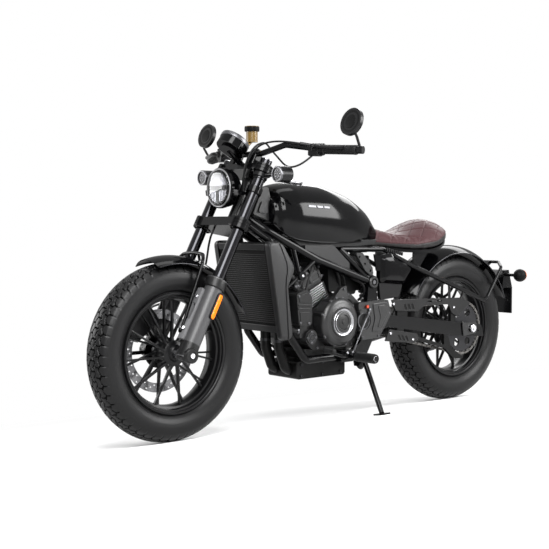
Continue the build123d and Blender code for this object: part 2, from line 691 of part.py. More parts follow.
# Plate bracket behind the fender with the rear lamps
hanger_x = -402.0
hole_y, hole_z, hole_radius = 35.0, 420.0, 3.2
with BuildPart() as plate_bracket:
    plate([(-326, 470), (-344, 560), (-376, 562), (hanger_x, 480), (hanger_x, 361), (hanger_x + 8, 361),
           (hanger_x + 8, 478), (-374, 500)], 55, 110)
    with BuildSketch(Plane(origin=(hanger_x - 1, 0, hole_z), x_dir=(0, 1, 0), z_dir=(1, 0, 0))):
        with Locations((hole_y, 0), (-hole_y, 0)):
            Circle(hole_radius)
    extrude(amount=10, mode=Mode.SUBTRACT)
    disc(-352, 540, 106, 212, 7)
    add(rear_fender.part, mode=Mode.SUBTRACT)
keep(plate_bracket, "plate_bracket")
with BuildPart() as rear_lamps:
    with BuildSketch(Plane(origin=(-352, 0, 540), x_dir=(1, 0, 0), z_dir=(0, 0, 1))):
        with BuildLine():
            ThreePointArc((0, 164.3), (29, 135.3), (0, 106.3))
            Line((0, 106.3), (0, 164.3))
        make_face()
    revolve(axis=Axis((-352, 0, 540), (0, 1, 0)))
    both_sides()
    plate([(-370, 508), (-396, 505), (-392, 545), (-366, 548)], 40, 80, 3)
    add(plate_bracket.part, mode=Mode.SUBTRACT)
keep(rear_lamps, "rear_lamps")

# Chain guards on the swingarm
with BuildPart() as chain_guards:
    plate([(500, 469), (475, 423), (340, 414), (305, 436), (150, 434), (132, 398), (95, 378), (5, 434), (75, 459)],
          arm_outer + 4, 4, 3)
    plate([(285, 458), (190, 456), (190, 448), (285, 450)], arm_outer + 5, 6, mode=Mode.SUBTRACT)
    plate([(460, 430), (400, 430), (400, 380), (460, 380)], arm_outer, 14)
    plate([(130, 440), (100, 440), (100, 340), (130, 340)], arm_outer, 14)
    plate([(512, 350), (345, 322), (335, 300), (362, 284), (535, 304)], arm_outer + 4, 4, 3)
    plate([(345, 312), (345, 296), (140, 240), (140, 254)], arm_outer, 14)
    plate([(172, 312), (150, 312), (128, 250), (40, 196), (110, 200), (172, 250)], arm_outer, 14, 3)
    plate([(460, 370), (420, 370), (420, 300), (460, 300)], arm_outer, 14)
    add(swingarm.part, mode=Mode.SUBTRACT)
keep(chain_guards, "chain_guards")

# Foot controls
peg_x, peg_z = 737.0, 262.0
with BuildPart() as foot_controls:
    plate([(725, 240), (725, 286), (790, 286), (790, 240)], 158, 158 - 118, 6)
    disc(peg_x, peg_z, 296, 140, 10)
    disc(peg_x, peg_z, 292, 108, 17)
    tube([(760, 156, 262), (800, 172, 268), (890, 172, 296)], 7, 20)
    disc(888, 295, 224, 56, 9)
    plate([(725, 240), (725, 286), (790, 286), (790, 240)], -118, 40, 6)
    disc(peg_x, peg_z, -156, 140, 10)
    disc(peg_x, peg_z, -184, 108, 17)
    tube([(760, -156, 262), (800, -172, 268), (890, -172, 290)], 7, 20)
    disc(888, 290, -160, 56, 12)
    add(frame.part, mode=Mode.SUBTRACT)
keep(foot_controls, "foot_controls")

# Brake calipers: two halves joined over the disc's rim


def caliper(cx, cz, disc_y, disc_radius, angle, length, height, inner, outer):
    """A caliper astride a disc whose left face is at disc_y, added to the part being built."""
    a = radians(angle)
    middle = disc_radius - height / 2 + 8
    over = disc_radius + 6
    for y_outer, thick, r, tall in (
        (disc_y + 6 + inner, inner, middle, height),
        (disc_y - 11, outer, middle, height),
        (disc_y + 6 + inner, inner + 17 + outer, over + 4, 8),
    ):
        with BuildSketch(side(y_outer)) as half:
            with Locations(Location((cx + r * cos(a), cz + r * sin(a), 0), angle - 90)):
                RectangleRounded(length, tall, tall / 8)
        extrude(half.sketch, amount=thick)


with BuildPart() as rear_caliper:
    caliper(0, rear_radius, rear_disc_y, rear_disc_radius, 55, 90, 54, 14, 24)
    a = radians(55)
    plate([(80 * cos(a) - 24, rear_radius + 80 * sin(a)), (80 * cos(a) + 24, rear_radius + 80 * sin(a)),
           (24, rear_radius - 20), (-24, rear_radius - 20)], rear_disc_y - 11, 7, 4)
    add(swingarm.part, mode=Mode.SUBTRACT)
    add(rear_axle.part, mode=Mode.SUBTRACT)
keep(rear_caliper, "rear_caliper")

# Fork
tube_radius = 21.5
slider_radius = 33.0
slider_top = 291.0


def clamp_plate(level, top, leg_ring, stem_ring, nose):
    with BuildSketch(fork.offset(level)) as web:
        for x, y, r in ((0, leg_y, leg_ring), (0, -leg_y, leg_ring), (-stem_back, 0, stem_ring), (nose, 0, 12)):
            with Locations((x, y)):
                Circle(r)
        make_hull(web.edges(), mode=Mode.REPLACE)
    extrude(web.sketch, amount=top - level)


with BuildPart() as lower_clamp:
    clamp_plate(clamp_low, clamp_low_top, 31, 26, 8)
    for y in (leg_y, -leg_y):
        with BuildSketch(fork.offset(clamp_low)):
            with Locations((0, y)):
                Circle(tube_radius + fit_gap)
        extrude(amount=clamp_low_top - clamp_low, mode=Mode.SUBTRACT)
    with BuildSketch(fork.offset(clamp_low_top)):
        with Locations((-stem_back, 0)):
            Circle(head_bore)
    extrude(amount=clamp_high_top - clamp_low_top)
keep(lower_clamp, "lower_clamp")

bar_local = (18.9, 798.4)
riser_y = 55.0
bar_radius = 11.0
with BuildPart() as upper_clamp:
    clamp_plate(clamp_high, clamp_high_top, 30, 24, 22)
    for y in (leg_y, -leg_y):
        with BuildSketch(fork.offset(clamp_high)):
            with Locations((0, y)):
                Circle(tube_radius + fit_gap)
        extrude(amount=clamp_high_top - clamp_high, mode=Mode.SUBTRACT)
    with BuildSketch(fork.offset(clamp_high)):
        with Locations((-stem_back, 0)):
            Circle(head_bore + fit_gap)
    extrude(amount=clamp_high_top - clamp_high, mode=Mode.SUBTRACT)
    for y in (riser_y, -riser_y):
        with BuildSketch(fork.offset(clamp_high_top)):
            with Locations((bar_local[0] - 6, y)):
                RectangleRounded(36, 34, 8)
        extrude(amount=bar_local[1] - clamp_high_top + 16)
    rod(at_fork(bar_local[0], 90, bar_local[1]), at_fork(bar_local[0], -90, bar_local[1]), bar_radius + fit_gap)
    with BuildSketch(side(90)):
        with Locations((at_fork(bar_local[0], 0, bar_local[1]).X, at_fork(bar_local[0], 0, bar_local[1]).Z)):
            Circle(bar_radius + fit_gap)
    extrude(amount=180, mode=Mode.SUBTRACT)
    with BuildSketch(fork.offset(clamp_high_top)):
        with Locations((-stem_back, 0)):
            RegularPolygon(18, 6)
    extrude(amount=9)
keep(upper_clamp, "upper_clamp")

with BuildPart() as fork_tubes:
    for y in (leg_y, -leg_y):
        rod(at_fork(0, y, 110), at_fork(0, y, 778), tube_radius)
keep(fork_tubes, "fork_tubes")
with BuildPart() as sliders:
    rod(at_fork(0, leg_y, -14), at_fork(0, leg_y, slider_top - 30), slider_radius)
    rod(at_fork(0, leg_y, slider_top - 30), at_fork(0, leg_y, slider_top), slider_radius + 5)
    disc(wheelbase, front_radius, 128, 128 - 77, 22)
    both_sides()
    for y in (leg_y, -leg_y):
        with BuildSketch(fork.offset(110)):
            with Locations((0, y)):
                Circle(tube_radius + fit_gap)
        extrude(amount=slider_top - 110, mode=Mode.SUBTRACT)
    # inner flats beside the wheel, and the axle bore
    disc(wheelbase, front_radius, 77, 154, 60, mode=Mode.SUBTRACT)
    disc(wheelbase, front_radius, 150, 300, axle_radius + fit_gap, mode=Mode.SUBTRACT)
    disc(wheelbase, front_radius, 150, 20, 13 + fit_gap, mode=Mode.SUBTRACT)
keep(sliders, "fork_sliders")

# Fender brace over the front fender
with BuildPart() as brace:
    tube([(1494, 84, 400), (1400, 84, 634), (1378, 62, 668), (1378, 0, 672)], 5, 16)
    disc(1490, 404, 92, 16, 10)
    rod((1378, 30, 672), (1372, 30, 643), 5)
    both_sides()
    add(sliders.part, mode=Mode.SUBTRACT)
    add(front_fender.part)
keep(brace, "front_fender")

with BuildPart() as front_caliper:
    caliper(wheelbase, front_radius, front_disc_y, front_disc_radius, 52, 124, 64, 14, 24)
    plate([(1476, 380), (1526, 374), (1562, 420), (1450, 450)], front_disc_y - 21.5, 15.5)
    add(sliders.part, mode=Mode.SUBTRACT)
    add(brace.part, mode=Mode.SUBTRACT)
keep(front_caliper, "front_caliper")

# Headlamp on brackets from the fork tubes
lamp = (1248.0, 0.0, 907.0)
lamp_radius = 75.0
with BuildPart() as headlamp:
    with BuildSketch(Plane(origin=lamp, x_dir=(1, 0, 0), z_dir=(0, -1, 0))):
        with BuildLine():
            Polyline((-60, 0), (-60, 22))
            ThreePointArc((-60, 22), (-47, 56), (-20, 70))
            Polyline((-20, 70), (0, lamp_radius), (10, lamp_radius), (14, lamp_radius - 4), (14, lamp_radius - 9),
                     (6, lamp_radius - 9))
            ThreePointArc((6, lamp_radius - 9), (11, 35), (12, 0))
            Line((12, 0), (-60, 0))
        make_face()
    revolve(axis=Axis(lamp, (1, 0, 0)))
with BuildPart() as lamp_brackets:
    low_z = at_fork(0, 0, 640)
    rod(at_fork(0, leg_y, 640), at_fork(0, leg_y, 664), tube_radius + 7, tube_radius + fit_gap)
    plate([(low_z.X - 10, low_z.Z + 2), (low_z.X + 70, low_z.Z + 16), (low_z.X + 66, low_z.Z - 6), (low_z.X, low_z.Z - 4)],
          leg_y - 24, 8, 3)
    rod((low_z.X + 60, leg_y - 24, low_z.Z + 4), (low_z.X + 60, lamp_radius - 12, low_z.Z + 4), 8)
    both_sides()
    add(headlamp.part)
keep(lamp_brackets, "headlamp")

# Front indicators on stalks from the fork tubes
with BuildPart() as front_indicators:
    stalk = at_fork(0, 0, 717)
    rod(at_fork(0, leg_y, 706), at_fork(0, leg_y, 726), tube_radius + 6, tube_radius + fit_gap)
    disc(stalk.X, stalk.Z, 206, 206 - leg_y - 24, 8)
    rod((stalk.X - 34, 224, stalk.Z), (stalk.X + 16, 224, stalk.Z), 29)
    both_sides()
keep(front_indicators, "front_indicators")

# Gauge over the headlamp
gauge = Vector(1198, 0, 1066)
gauge_axis = Vector(-sin(radians(38)), 0, cos(radians(38)))
with BuildPart() as meter:
    rod(gauge - gauge_axis * 22, gauge + gauge_axis * 20, 55)
    rod(gauge + gauge_axis * 20, gauge + gauge_axis * 24, 57)
    rod(gauge - gauge_axis * 30, gauge - gauge_axis * 22, 34)
    rod(at_fork(16, 0, clamp_high_top + seat_gap), gauge - gauge_axis * 24, 12)
    add(upper_clamp.part, mode=Mode.SUBTRACT)
keep(meter, "gauge")

# Handlebar and what it carries
bar_centre = at_fork(bar_local[0], 0, bar_local[1])
grip_in, grip_out = Vector(1018, 298, 1043), Vector(972, 425, 1037)
with BuildPart() as bar:
    tube([grip_out, grip_in, (1098, 185, 1062), (bar_centre.X, 92, bar_centre.Z), (bar_centre.X, 0, bar_centre.Z)],
         bar_radius, 36)
    both_sides()
keep(bar, "handlebar")
grip_along = (grip_out - grip_in).normalized()
with BuildPart() as grips:
    rod(grip_in + grip_along * 4, grip_out + grip_along * 2, 16.5, bar_radius + fit_gap)
    both_sides()
keep(grips, "grips")
with BuildPart() as mirrors:
    tip = grip_out + grip_along * (2 + seat_gap)
    rod(tip, tip + grip_along * 22, 14)
    tube([tip + grip_along * 12, tip + grip_along * 12 + Vector(30, 8, 50), (1004, 436, 1104), (1000, 424, 1132)], 5, 12)
    rod((990, 424, 1132), (1004, 424, 1136), 50)
    both_sides()
keep(mirrors, "mirrors")
perch = grip_in - grip_along * 14
adjuster_in, adjuster_out = Vector(1046, 270, 1058), Vector(1078, 240, 1065)
with BuildPart() as controls:
    rod(grip_in - grip_along * 40, grip_in + grip_along * 2, 22, bar_radius + fit_gap)
    tube([perch + Vector(16, -8, 6), perch + Vector(44, 10, 10), grip_in + grip_along * 108 + Vector(34, 0, 6)], 6, 20)
    rod(adjuster_in, adjuster_out, 6)
    both_sides()
    add(bar.part, mode=Mode.SUBTRACT)
keep(controls, "hand_controls")
with BuildPart() as reservoir:
    rod((1074, -38, 1084), (1074, -38, 1128), 22)
    rod((1074, -38, 1128), (1074, -38, 1145), 27)
    rod((1128, -36, 1044), (1078, -38, 1086), 6)
    add(bar.part, mode=Mode.SUBTRACT)
    add(upper_clamp.part, mode=Mode.SUBTRACT)
keep(reservoir, "fluid_reservoir")

# Cables and hose, all of which turn with the fork
cable_radius = 3.5
hose_radius = 4.0
with BuildPart() as clutch_cable:
    tube([adjuster_out, adjuster_out + (adjuster_out - adjuster_in) * 0.8, at_fork(22, 140, 846),
          at_fork(38, 94, 828), at_fork(43, 66, 795), at_fork(44, 62, 740), at_fork(18, 40, 690), at_fork(-14, 28, 640),
          at_fork(-12, 24, 570), at_fork(-12, 24, clamp_low_top)], cable_radius, 16)
keep(clutch_cable, "clutch_cable")
with BuildPart() as switch_lead:
    tube([(1036, 270, 1027), (1062, 256, 1002), (1080, 228, 984), (1086, 190, 980), (1070, 142, 994),
          (1074, 112, 1022), (1092, 94, 1050), at_fork(18, 80, 850), at_fork(52, 74, 812), at_fork(57, 70, 745),
          at_fork(28, 54, 690), at_fork(-8, 44, 640), at_fork(-8, 40, 570), at_fork(-8, 40, clamp_low_top)],
         cable_radius, 12)
    add(controls.part, mode=Mode.SUBTRACT)
keep(switch_lead, "switch_lead")
with BuildPart() as brake_hose:
    tube([at_fork(4, -30, clamp_low), at_fork(4, -30, 470), at_fork(-10, -50, 464), at_fork(-26, -63, 436),
          at_fork(-42, -68, 400), at_fork(-60, -76, 356), at_fork(-52, -104, 290), at_fork(-44, -118, 240),
          at_fork(-28, -150, 205), at_fork(14, -158, 172), at_fork(54, -134, 144), at_fork(82, -100, 122),
          at_fork(94, -80, 98)], hose_radius, 16)
    add(front_caliper.part, mode=Mode.SUBTRACT)
keep(brake_hose, "brake_hose")

# Side stand
with BuildPart() as stand:
    rod(stand_pivot - stand_axis * stand_half, stand_pivot + stand_axis * stand_half, 15)
    rod(stand_pivot, foot_point + ground_normal * 6, 10)
    with BuildSketch(Plane(origin=foot_point, x_dir=(1, 0, 0), z_dir=ground_normal)):
        RectangleRounded(64, 44, 12)
    extrude(amount=6)
keep(stand, "side_stand")

# Lean the machine onto its stand, with both tyres and the foot on the ground, then bring the origin to
# the middle of its footprint
pitch = degrees(atan2(rear_sink - front_sink, wheelbase))
leaned = Location((0, 0, 0), (0, pitch, 0)) * Location((0, 0, 0), (-lean, 0, 0))
corners = [piece.moved(leaned).bounding_box() for piece in pieces.values()]
low = [min(getattr(box.min, axis) for box in corners) for axis in "XYZ"]
high = [max(getattr(box.max, axis) for box in corners) for axis in "XYZ"]
stance = Location((-(low[0] + high[0]) / 2, -(low[1] + high[1]) / 2, -low[2])) * leaned


def placed(point):
    return (stance * Location(tuple(point))).position


def turned(direction):
    return placed(direction) - placed((0, 0, 0))


for name, point, direction in (
    ("steering", at_fork(-stem_back, 0, clamp_low_top), fork.z_dir),
    ("front_wheel", (wheelbase, 0, front_radius), (0, 1, 0)),
    ("rear_wheel", (0, 0, rear_radius), (0, 1, 0)),
    ("side_stand", stand_pivot, stand_axis),
    ("plate_bolts", (hanger_x, 0, hole_z), (-1, 0, 0)),
    ("spool_left", (spool_x, arm_outer, spool_z), (0, 1, 0)),
    ("spool_right", (spool_x, -arm_outer, spool_z), (0, -1, 0)),
    ("foot_plane", foot_point, ground_normal),
):
    print("POINT", name, *(round(v, 6) for v in (*placed(point), *turned(direction))))
print("FOLD", round(stand_fold, 4))
print("BOX", [round(v, 3) for v in (*low, *high)])

os.makedirs("parts", exist_ok=True)
for label, solid in pieces.items():
    finished = solid.moved(stance)
    finished.label = label
    export_step(finished, f"parts/{label}.step")
print(len(pieces), "pieces")
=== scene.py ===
import math

import bpy
import numpy as np
from mathutils import Matrix


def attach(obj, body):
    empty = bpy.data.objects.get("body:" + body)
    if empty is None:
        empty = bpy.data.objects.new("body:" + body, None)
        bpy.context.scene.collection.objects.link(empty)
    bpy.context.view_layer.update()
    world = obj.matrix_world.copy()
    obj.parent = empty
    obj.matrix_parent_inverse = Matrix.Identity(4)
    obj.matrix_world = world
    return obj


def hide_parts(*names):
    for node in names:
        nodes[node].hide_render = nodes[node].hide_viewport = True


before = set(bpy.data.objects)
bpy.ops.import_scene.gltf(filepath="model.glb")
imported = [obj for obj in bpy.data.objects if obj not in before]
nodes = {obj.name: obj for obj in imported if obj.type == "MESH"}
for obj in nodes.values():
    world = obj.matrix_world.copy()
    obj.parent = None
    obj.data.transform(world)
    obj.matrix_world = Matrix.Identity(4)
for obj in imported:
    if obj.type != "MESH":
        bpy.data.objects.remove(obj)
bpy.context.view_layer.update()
print("model loaded")

# Pieces are drawn upright in millimetres, as the part's source is: X forward from the rear axle, Y left,
# Z up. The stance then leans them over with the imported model.
stance = {"lean": 9.0, "pitch": 9.8e-5, "shift": (-704.0325, -177.3965, 1.137)}
lean = math.radians(stance["lean"])
stanceTurn = np.array([[1, 0, stance["pitch"]], [0, 1, 0], [-stance["pitch"], 0, 1]]) @ np.array(
    [[1, 0, 0], [0, math.cos(lean), math.sin(lean)], [0, -math.sin(lean), math.cos(lean)]])
leftward, upward = (0, 1, 0), (0, 0, 1)


def leaned(points):  # upright millimetres to the frame's metres
    return (np.asarray(points, float) @ stanceTurn.T + stance["shift"]) / 1000


def upright(points):  # the frame's metres back to upright millimetres
    return (np.asarray(points) * 1000 - stance["shift"]) @ np.linalg.inv(stanceTurn).T


def unit(vector):
    return np.asarray(vector, float) / np.linalg.norm(vector)


def axes(along):  # two directions square to one
    along = unit(along)
    guide = np.array([1.0, 0, 0]) if abs(along[0]) < 0.9 else np.array([0, 1.0, 0])
    across = unit(np.cross(guide, along))
    return across, np.cross(along, across)


# Both axles, and the fork's own axes: x forward, y left, z up the leg from the front axle
frontAxle = np.array([1490.0, 0, 320.0])
rearAxle = np.array([0, 0, 323.0])
fork = {"rake": 28.0, "legs": 110}
rake = math.radians(fork["rake"])
forkX = np.array([math.cos(rake), 0, math.sin(rake)])
forkZ = np.array([-math.sin(rake), 0, math.cos(rake)])


def atFork(x, y, z):
    return frontAxle + forkX * x + np.array([0, y, 0]) + forkZ * z


# Shader maths: a socket that multiplies and compares, and joins other Math nodes
class Wire:
    def __init__(self, graph, socket):
        self.graph = graph
        self.socket = socket

    def math(self, operation, other):
        return self.graph.node("Math", {0: self, 1: other}, operation=operation)

    def __mul__(self, other):
        return self.math("MULTIPLY", other)

    __rmul__ = __mul__

    def __gt__(self, other):
        return self.math("GREATER_THAN", other)


# A node tree whose node() makes any node, first its settings and then its sockets
class Graph:
    def __init__(self, tree):
        self.tree = tree

    def fill(self, slot, value):
        if isinstance(value, Wire):
            self.tree.links.new(value.socket, slot)
        else:
            slot.default_value = value

    def node(self, kind, inputs=(), output=0, **settings):
        made = self.tree.nodes.new("ShaderNode" + kind)
        for key, value in settings.items():
            setattr(made, key, value)
        for key, value in dict(inputs).items():
            self.fill(made.inputs[key], value)
        return Wire(self, made.outputs[output])

    # 1 for what is looked at, straight, in gloss or through glass, and 0 for light that falls on things
    def seen(self):
        shown = self.node("LightPath", output="Is Camera Ray")
        for ray in ("Is Glossy Ray", "Is Transmission Ray"):
            shown = shown.math("MAXIMUM", self.node("LightPath", output=ray))
        return shown


# A material on the principled shader; other keywords are its sockets, with _ for a space
class Paint(Graph):
    def __init__(self, name, color, roughness, metallic=0.0, coat=0.0, coatRoughness=0.03, **sockets):
        self.data = bpy.data.materials.new(name)
        self.data.use_nodes = True
        self.data.diffuse_color = (*color, 1)
        super().__init__(self.data.node_tree)
        self.shader = self.tree.nodes["Principled BSDF"]
        for key, value in {"Base Color": (*color, 1), "Roughness": roughness, "Metallic": metallic,
                           "Coat Weight": coat, "Coat Roughness": coatRoughness, **sockets}.items():
            self.feed(key.replace("_", " "), value)

    def feed(self, key, value):
        self.fill(self.shader.inputs[key], value)

    def place(self):
        return self.node("TexCoord", output="Object")

    def noise(self, scale, detail=3.0):
        return self.node("TexNoise", {"Vector": self.place(), "Scale": scale, "Detail": detail})

    def bump(self, height, strength, distance):
        self.feed("Normal", self.node("Bump", {"Height": height, "Strength": strength, "Distance": distance}))

    # distance in mm from a line in the upright machine: the length of offset x direction
    def radius(self, centre, along):
        offset = self.node("VectorMath", {0: self.place(), 1: tuple(leaned(centre))}, operation="SUBTRACT")
        line = tuple(stanceTurn @ unit(along))
        crossed = self.node("VectorMath", {0: offset, 1: line}, operation="CROSS_PRODUCT")
        return self.node("VectorMath", {0: crossed}, "Value", operation="LENGTH") * 1000.0

    def blendColor(self, factor, low, high):
        colors = {"Factor": factor, 6: (*low, 1), 7: (*high, 1)}
        self.feed("Base Color", self.node("Mix", colors, 2, data_type="RGBA"))


# A painted casting: a fine grain that dents it and varies its gloss
casting = {"grain": 900.0, "duller": 0.1, "glossier": 0.08, "dent": 0.18, "deep": 0.0004}


def cast(name, tone, roughness, shine):
    made = Paint(name, (tone, tone, tone * 1.04), roughness, Specular_IOR_Level=shine)
    grain = made.noise(casting["grain"])
    made.feed("Roughness", made.node("MapRange", {"Value": grain, "To Min": roughness - casting["glossier"],
                                                  "To Max": roughness + casting["duller"]}))
    made.bump(grain, casting["dent"], casting["deep"])
    return made


# Rubber and leather
tyreRubber = Paint("tyreRubber", (0.0025, 0.0025, 0.0027), 0.42, Specular_IOR_Level=0.19)
tyreRubber.bump(tyreRubber.noise(700.0), 0.15, 0.0004)
# Painted shade: the tread grooves take a darker, duller copy of the tyre rubber
groovePaintedShade = Paint("groovePaintedShade", (0.001, 0.001, 0.001), 0.8, Specular_IOR_Level=0.02)
softRubber = Paint("softRubber", (0.004, 0.004, 0.0042), 0.5, Specular_IOR_Level=0.16)
seatLeather = Paint("seatLeather", (0.042, 0.019, 0.0205), 0.5, Specular_IOR_Level=0.13)
seatLeather.bump(seatLeather.noise(420.0, 4.0), 0.35, 0.0006)
skirtLeather = Paint("skirtLeather", (0.006, 0.0055, 0.0055), 0.5, Specular_IOR_Level=0.2)
skirtLeather.bump(skirtLeather.noise(420.0, 4.0), 0.3, 0.0006)

# Blacks and greys
satinBlack = Paint("satinBlack", (0.0022, 0.0022, 0.0025), 0.33, 0.0, 0.06, 0.25, Specular_IOR_Level=0.14)
frameBlack = Paint("frameBlack", (0.0012, 0.0012, 0.0014), 0.26, 0.0, 0.12, 0.1, Specular_IOR_Level=0.08)
glossBlack = Paint("glossBlack", (0.001, 0.001, 0.0012), 0.15, 0.0, 0.3, 0.11, Specular_IOR_Level=0.0)
# A heat-blackened finish on the exhaust, and painted shade on the chain guard behind the guard plates' slots
heatBlackAndSlotShade = Paint("heatBlackAndSlotShade", (0.0025, 0.0025, 0.0025), 0.4, Specular_IOR_Level=0.1)
castGrey = cast("castGrey", 0.006, 0.33, 0.34)
castDark = cast("castDark", 0.0035, 0.38, 0.28)
satinGrey = cast("satinGrey", 0.005, 0.36, 0.2)
forkGrey = cast("forkGrey", 0.034, 0.36, 0.35)
shroudBlack = cast("shroudBlack", 0.008, 0.4, 0.24)
plasticBlack = cast("plasticBlack", 0.0018, 0.5, 0.07)
plateGrey = cast("plateGrey", 0.09, 0.36, 0.4)

# Metals
brightSteel = Paint("brightSteel", (0.62, 0.62, 0.64), 0.25, 1.0)
turnedSteel = Paint("turnedSteel", (0.45, 0.45, 0.47), 0.3, 1.0)
ringSteel = Paint("ringSteel", (0.3, 0.3, 0.31), 0.32, 1.0)
ringDark = Paint("ringDark", (0.03, 0.03, 0.032), 0.4, 1.0)
lampSteel = Paint("lampSteel", (0.17, 0.17, 0.18), 0.2, 1.0)
darkSteel = Paint("darkSteel", (0.09, 0.09, 0.095), 0.35, 1.0)
chainSteel = Paint("chainSteel", (0.12, 0.115, 0.11), 0.36, 1.0)
tubeSteel = Paint("tubeSteel", (0.02, 0.02, 0.022), 0.16, 1.0, coat=0.15)
copperBolt = Paint("copperBolt", (0.45, 0.07, 0.04), 0.35, 1.0)

# Lenses, glass and the reservoir
amberPlastic = Paint("amberPlastic", (0.1, 0.06, 0.012), 0.35, Specular_IOR_Level=0.3)
orangeLens = Paint("orangeLens", (0.9, 0.2, 0.015), 0.2, coat=0.3, Specular_IOR_Level=0.2)
redLens = Paint("redLens", (0.25, 0.006, 0.006), 0.15, coat=0.4, Specular_IOR_Level=0.2)
clearLens = Paint("clearLens", (0.95, 0.96, 0.98), 0.04, Transmission_Weight=1.0, IOR=1.35)
mirrorGlass = Paint("mirrorGlass", (0.85, 0.88, 0.9), 0.02, 1.0)
gaugeGlass = Paint("gaugeGlass", (0.004, 0.0045, 0.005), 0.08, coat=0.6)

# A brake disc has a black carrier, and outside it a ring ground bright
discs = {
    "disc_front": {"centre": frontAxle, "carrier": 114.0},
    "disc_rear": {"centre": rearAxle, "carrier": 88.0},
}
for name, disc in discs.items():
    disc["paint"] = Paint("ground_" + name, (0.45, 0.45, 0.46), 0.28, 1.0)
    onRing = disc["paint"].radius(disc["centre"], leftward) > disc["carrier"]
    disc["paint"].blendColor(onRing, (0.01, 0.01, 0.01), (0.15, 0.15, 0.155))

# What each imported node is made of
creases = 35
finish = {
    frameBlack: ["main_frame", "subframe", "lower_clamp", "upper_clamp", "handlebar", "side_stand",
                 "plate_bracket", "foot_controls", "seat_pan", "swingarm"],
    glossBlack: ["fuel_tank", "side_covers", "front_fender", "rear_fender", "headlamp", "gauge"],
    satinBlack: ["wheel_front", "wheel_rear", "front_caliper", "rear_caliper", "hand_controls",
                 "front_indicators", "mirrors", "rear_shock"],
    castDark: ["crankcase", "cylinders", "clutch_cover", "cylinder_head"],
    castGrey: ["alternator_cover", "sprocket_cover"],
    satinGrey: ["coolant_box"],
    forkGrey: ["fork_sliders"],
    shroudBlack: ["radiator_shrouds", "frame_panels"],
    plasticBlack: ["radiator", "airbox", "rear_lamps"],
    # on chain_guards this darker black is painted shade, seen through the guard plates' slots
    heatBlackAndSlotShade: ["exhaust_headers", "silencer", "chain_guards"],
    ringDark: ["rear_sprocket"],
    chainSteel: ["chain"],
    brightSteel: ["front_axle", "rear_axle", "fuel_cap"],
    tubeSteel: ["fork_tubes"],
    tyreRubber: ["tyre_front", "tyre_rear"],
    softRubber: ["grips", "brake_hose", "clutch_cable", "switch_lead"],
    seatLeather: ["seat_cushion"],
    amberPlastic: ["fluid_reservoir"],
    discs["disc_front"]["paint"]: ["disc_front"],
    discs["disc_rear"]["paint"]: ["disc_rear"],
}
for paint, names in finish.items():
    for name in names:
        nodes[name].data.materials.clear()
        nodes[name].data.materials.append(paint.data)
        nodes[name].data.set_sharp_from_angle(angle=math.radians(creases))
print("finishes set")


# Mesh builders. A shape is its points, in upright millimetres, and its faces; several make one piece that
# rides on a body.
def addPiece(name, shapes, paint, body, sharp=30.0, replaces=()):
    points, faces = joined(shapes)
    mesh = bpy.data.meshes.new(name)
    mesh.from_pydata(leaned(points).tolist(), [], [tuple(face) for face in faces])
    mesh.validate()
    mesh.shade_smooth()
    mesh.set_sharp_from_angle(angle=math.radians(sharp))
    piece = bpy.data.objects.new(name, mesh)
    for one in paint if isinstance(paint, tuple) else [paint]:
        mesh.materials.append(one.data)
    bpy.context.scene.collection.objects.link(piece)
    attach(piece, body)
    if replaces:
        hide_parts(*replaces)
    return piece


def joined(shapes):  # several shapes as one
    points, faces, start = [], [], 0
    for some, more in shapes:
        points.append(np.asarray(some, float))
        faces += [[v + start for v in face] for face in more]
        start += len(some)
    return np.concatenate(points), faces


def flipped(shape):  # the mirror image of a shape on the other side of the machine
    points, faces = shape
    return points * (1, -1, 1), [face[::-1] for face in faces]


def mirrored(*shapes):  # shapes and their mirror images
    both = joined(shapes)
    return [both, flipped(both)]


# Quads over a grid of rows by columns, stored row by row; columns close round
def gridFaces(rows, columns, closeRows=False):
    i = np.arange(rows if closeRows else rows - 1)[:, None]
    j = np.arange(columns)[None, :]
    a = i * columns + j
    b = i * columns + (j + 1) % columns
    c = (i + 1) % rows * columns + (j + 1) % columns
    d = (i + 1) % rows * columns + j
    return np.stack([a, b, c, d], -1).reshape(-1, 4).tolist()


def endFaces(rows, columns):  # lids on the first and the last row
    return [list(range(columns - 1, -1, -1)), list(range((rows - 1) * columns, rows * columns))]


# A lathe: profile (distance along, radius) turned by f(s, a) = origin + s * along + r * (cos a, sin a)
def turn(profile, origin, along, sides=48, caps=True):
    along = unit(along)
    across, up = axes(along)
    profile = np.asarray(profile, float)
    a = np.linspace(0, 2 * math.pi, sides, endpoint=False)
    ring = np.cos(a)[:, None] * across + np.sin(a)[:, None] * up
    points = np.asarray(origin, float) + profile[:, None, :1] * along + profile[:, None, 1:] * ring[None]
    faces = gridFaces(len(profile), sides)
    if caps:
        faces += endFaces(len(profile), sides)
    return points.reshape(-1, 3), faces


# A corner rounded by the parabola (1 - t)^2 start + 2 t (1 - t) corner + t^2 end
def roundCorner(before, corner, after, radius, share, steps):
    first, second = before - corner, after - corner
    reach = min(radius, np.linalg.norm(first) * share, np.linalg.norm(second) * share)
    start, end = corner + unit(first) * reach, corner + unit(second) * reach
    return [(1 - t) ** 2 * start + 2 * t * (1 - t) * corner + t * t * end for t in np.linspace(0, 1, steps)]


def bent(route, radius=40.0, steps=8):  # an open route with its corners rounded
    route = [np.asarray(point, float) for point in route]
    out = [route[0]]
    for before, corner, after in zip(route, route[1:], route[2:]):
        out += roundCorner(before, corner, after, radius, 0.49, steps)
    return np.array(out + [route[-1]])


def rounded(outline, radius, steps=5):  # a closed outline with its corners rounded
    outline = [np.asarray(point, float) for point in outline]
    out = []
    for k, corner in enumerate(outline):
        out += roundCorner(outline[k - 1], corner, outline[(k + 1) % len(outline)], radius, 0.45, steps)
    return [tuple(point) for point in out]


def oblong(left, right, low, high, radius, steps=5):  # a rectangle with rounded corners
    return rounded([(left, low), (right, low), (right, high), (left, high)], radius, steps)


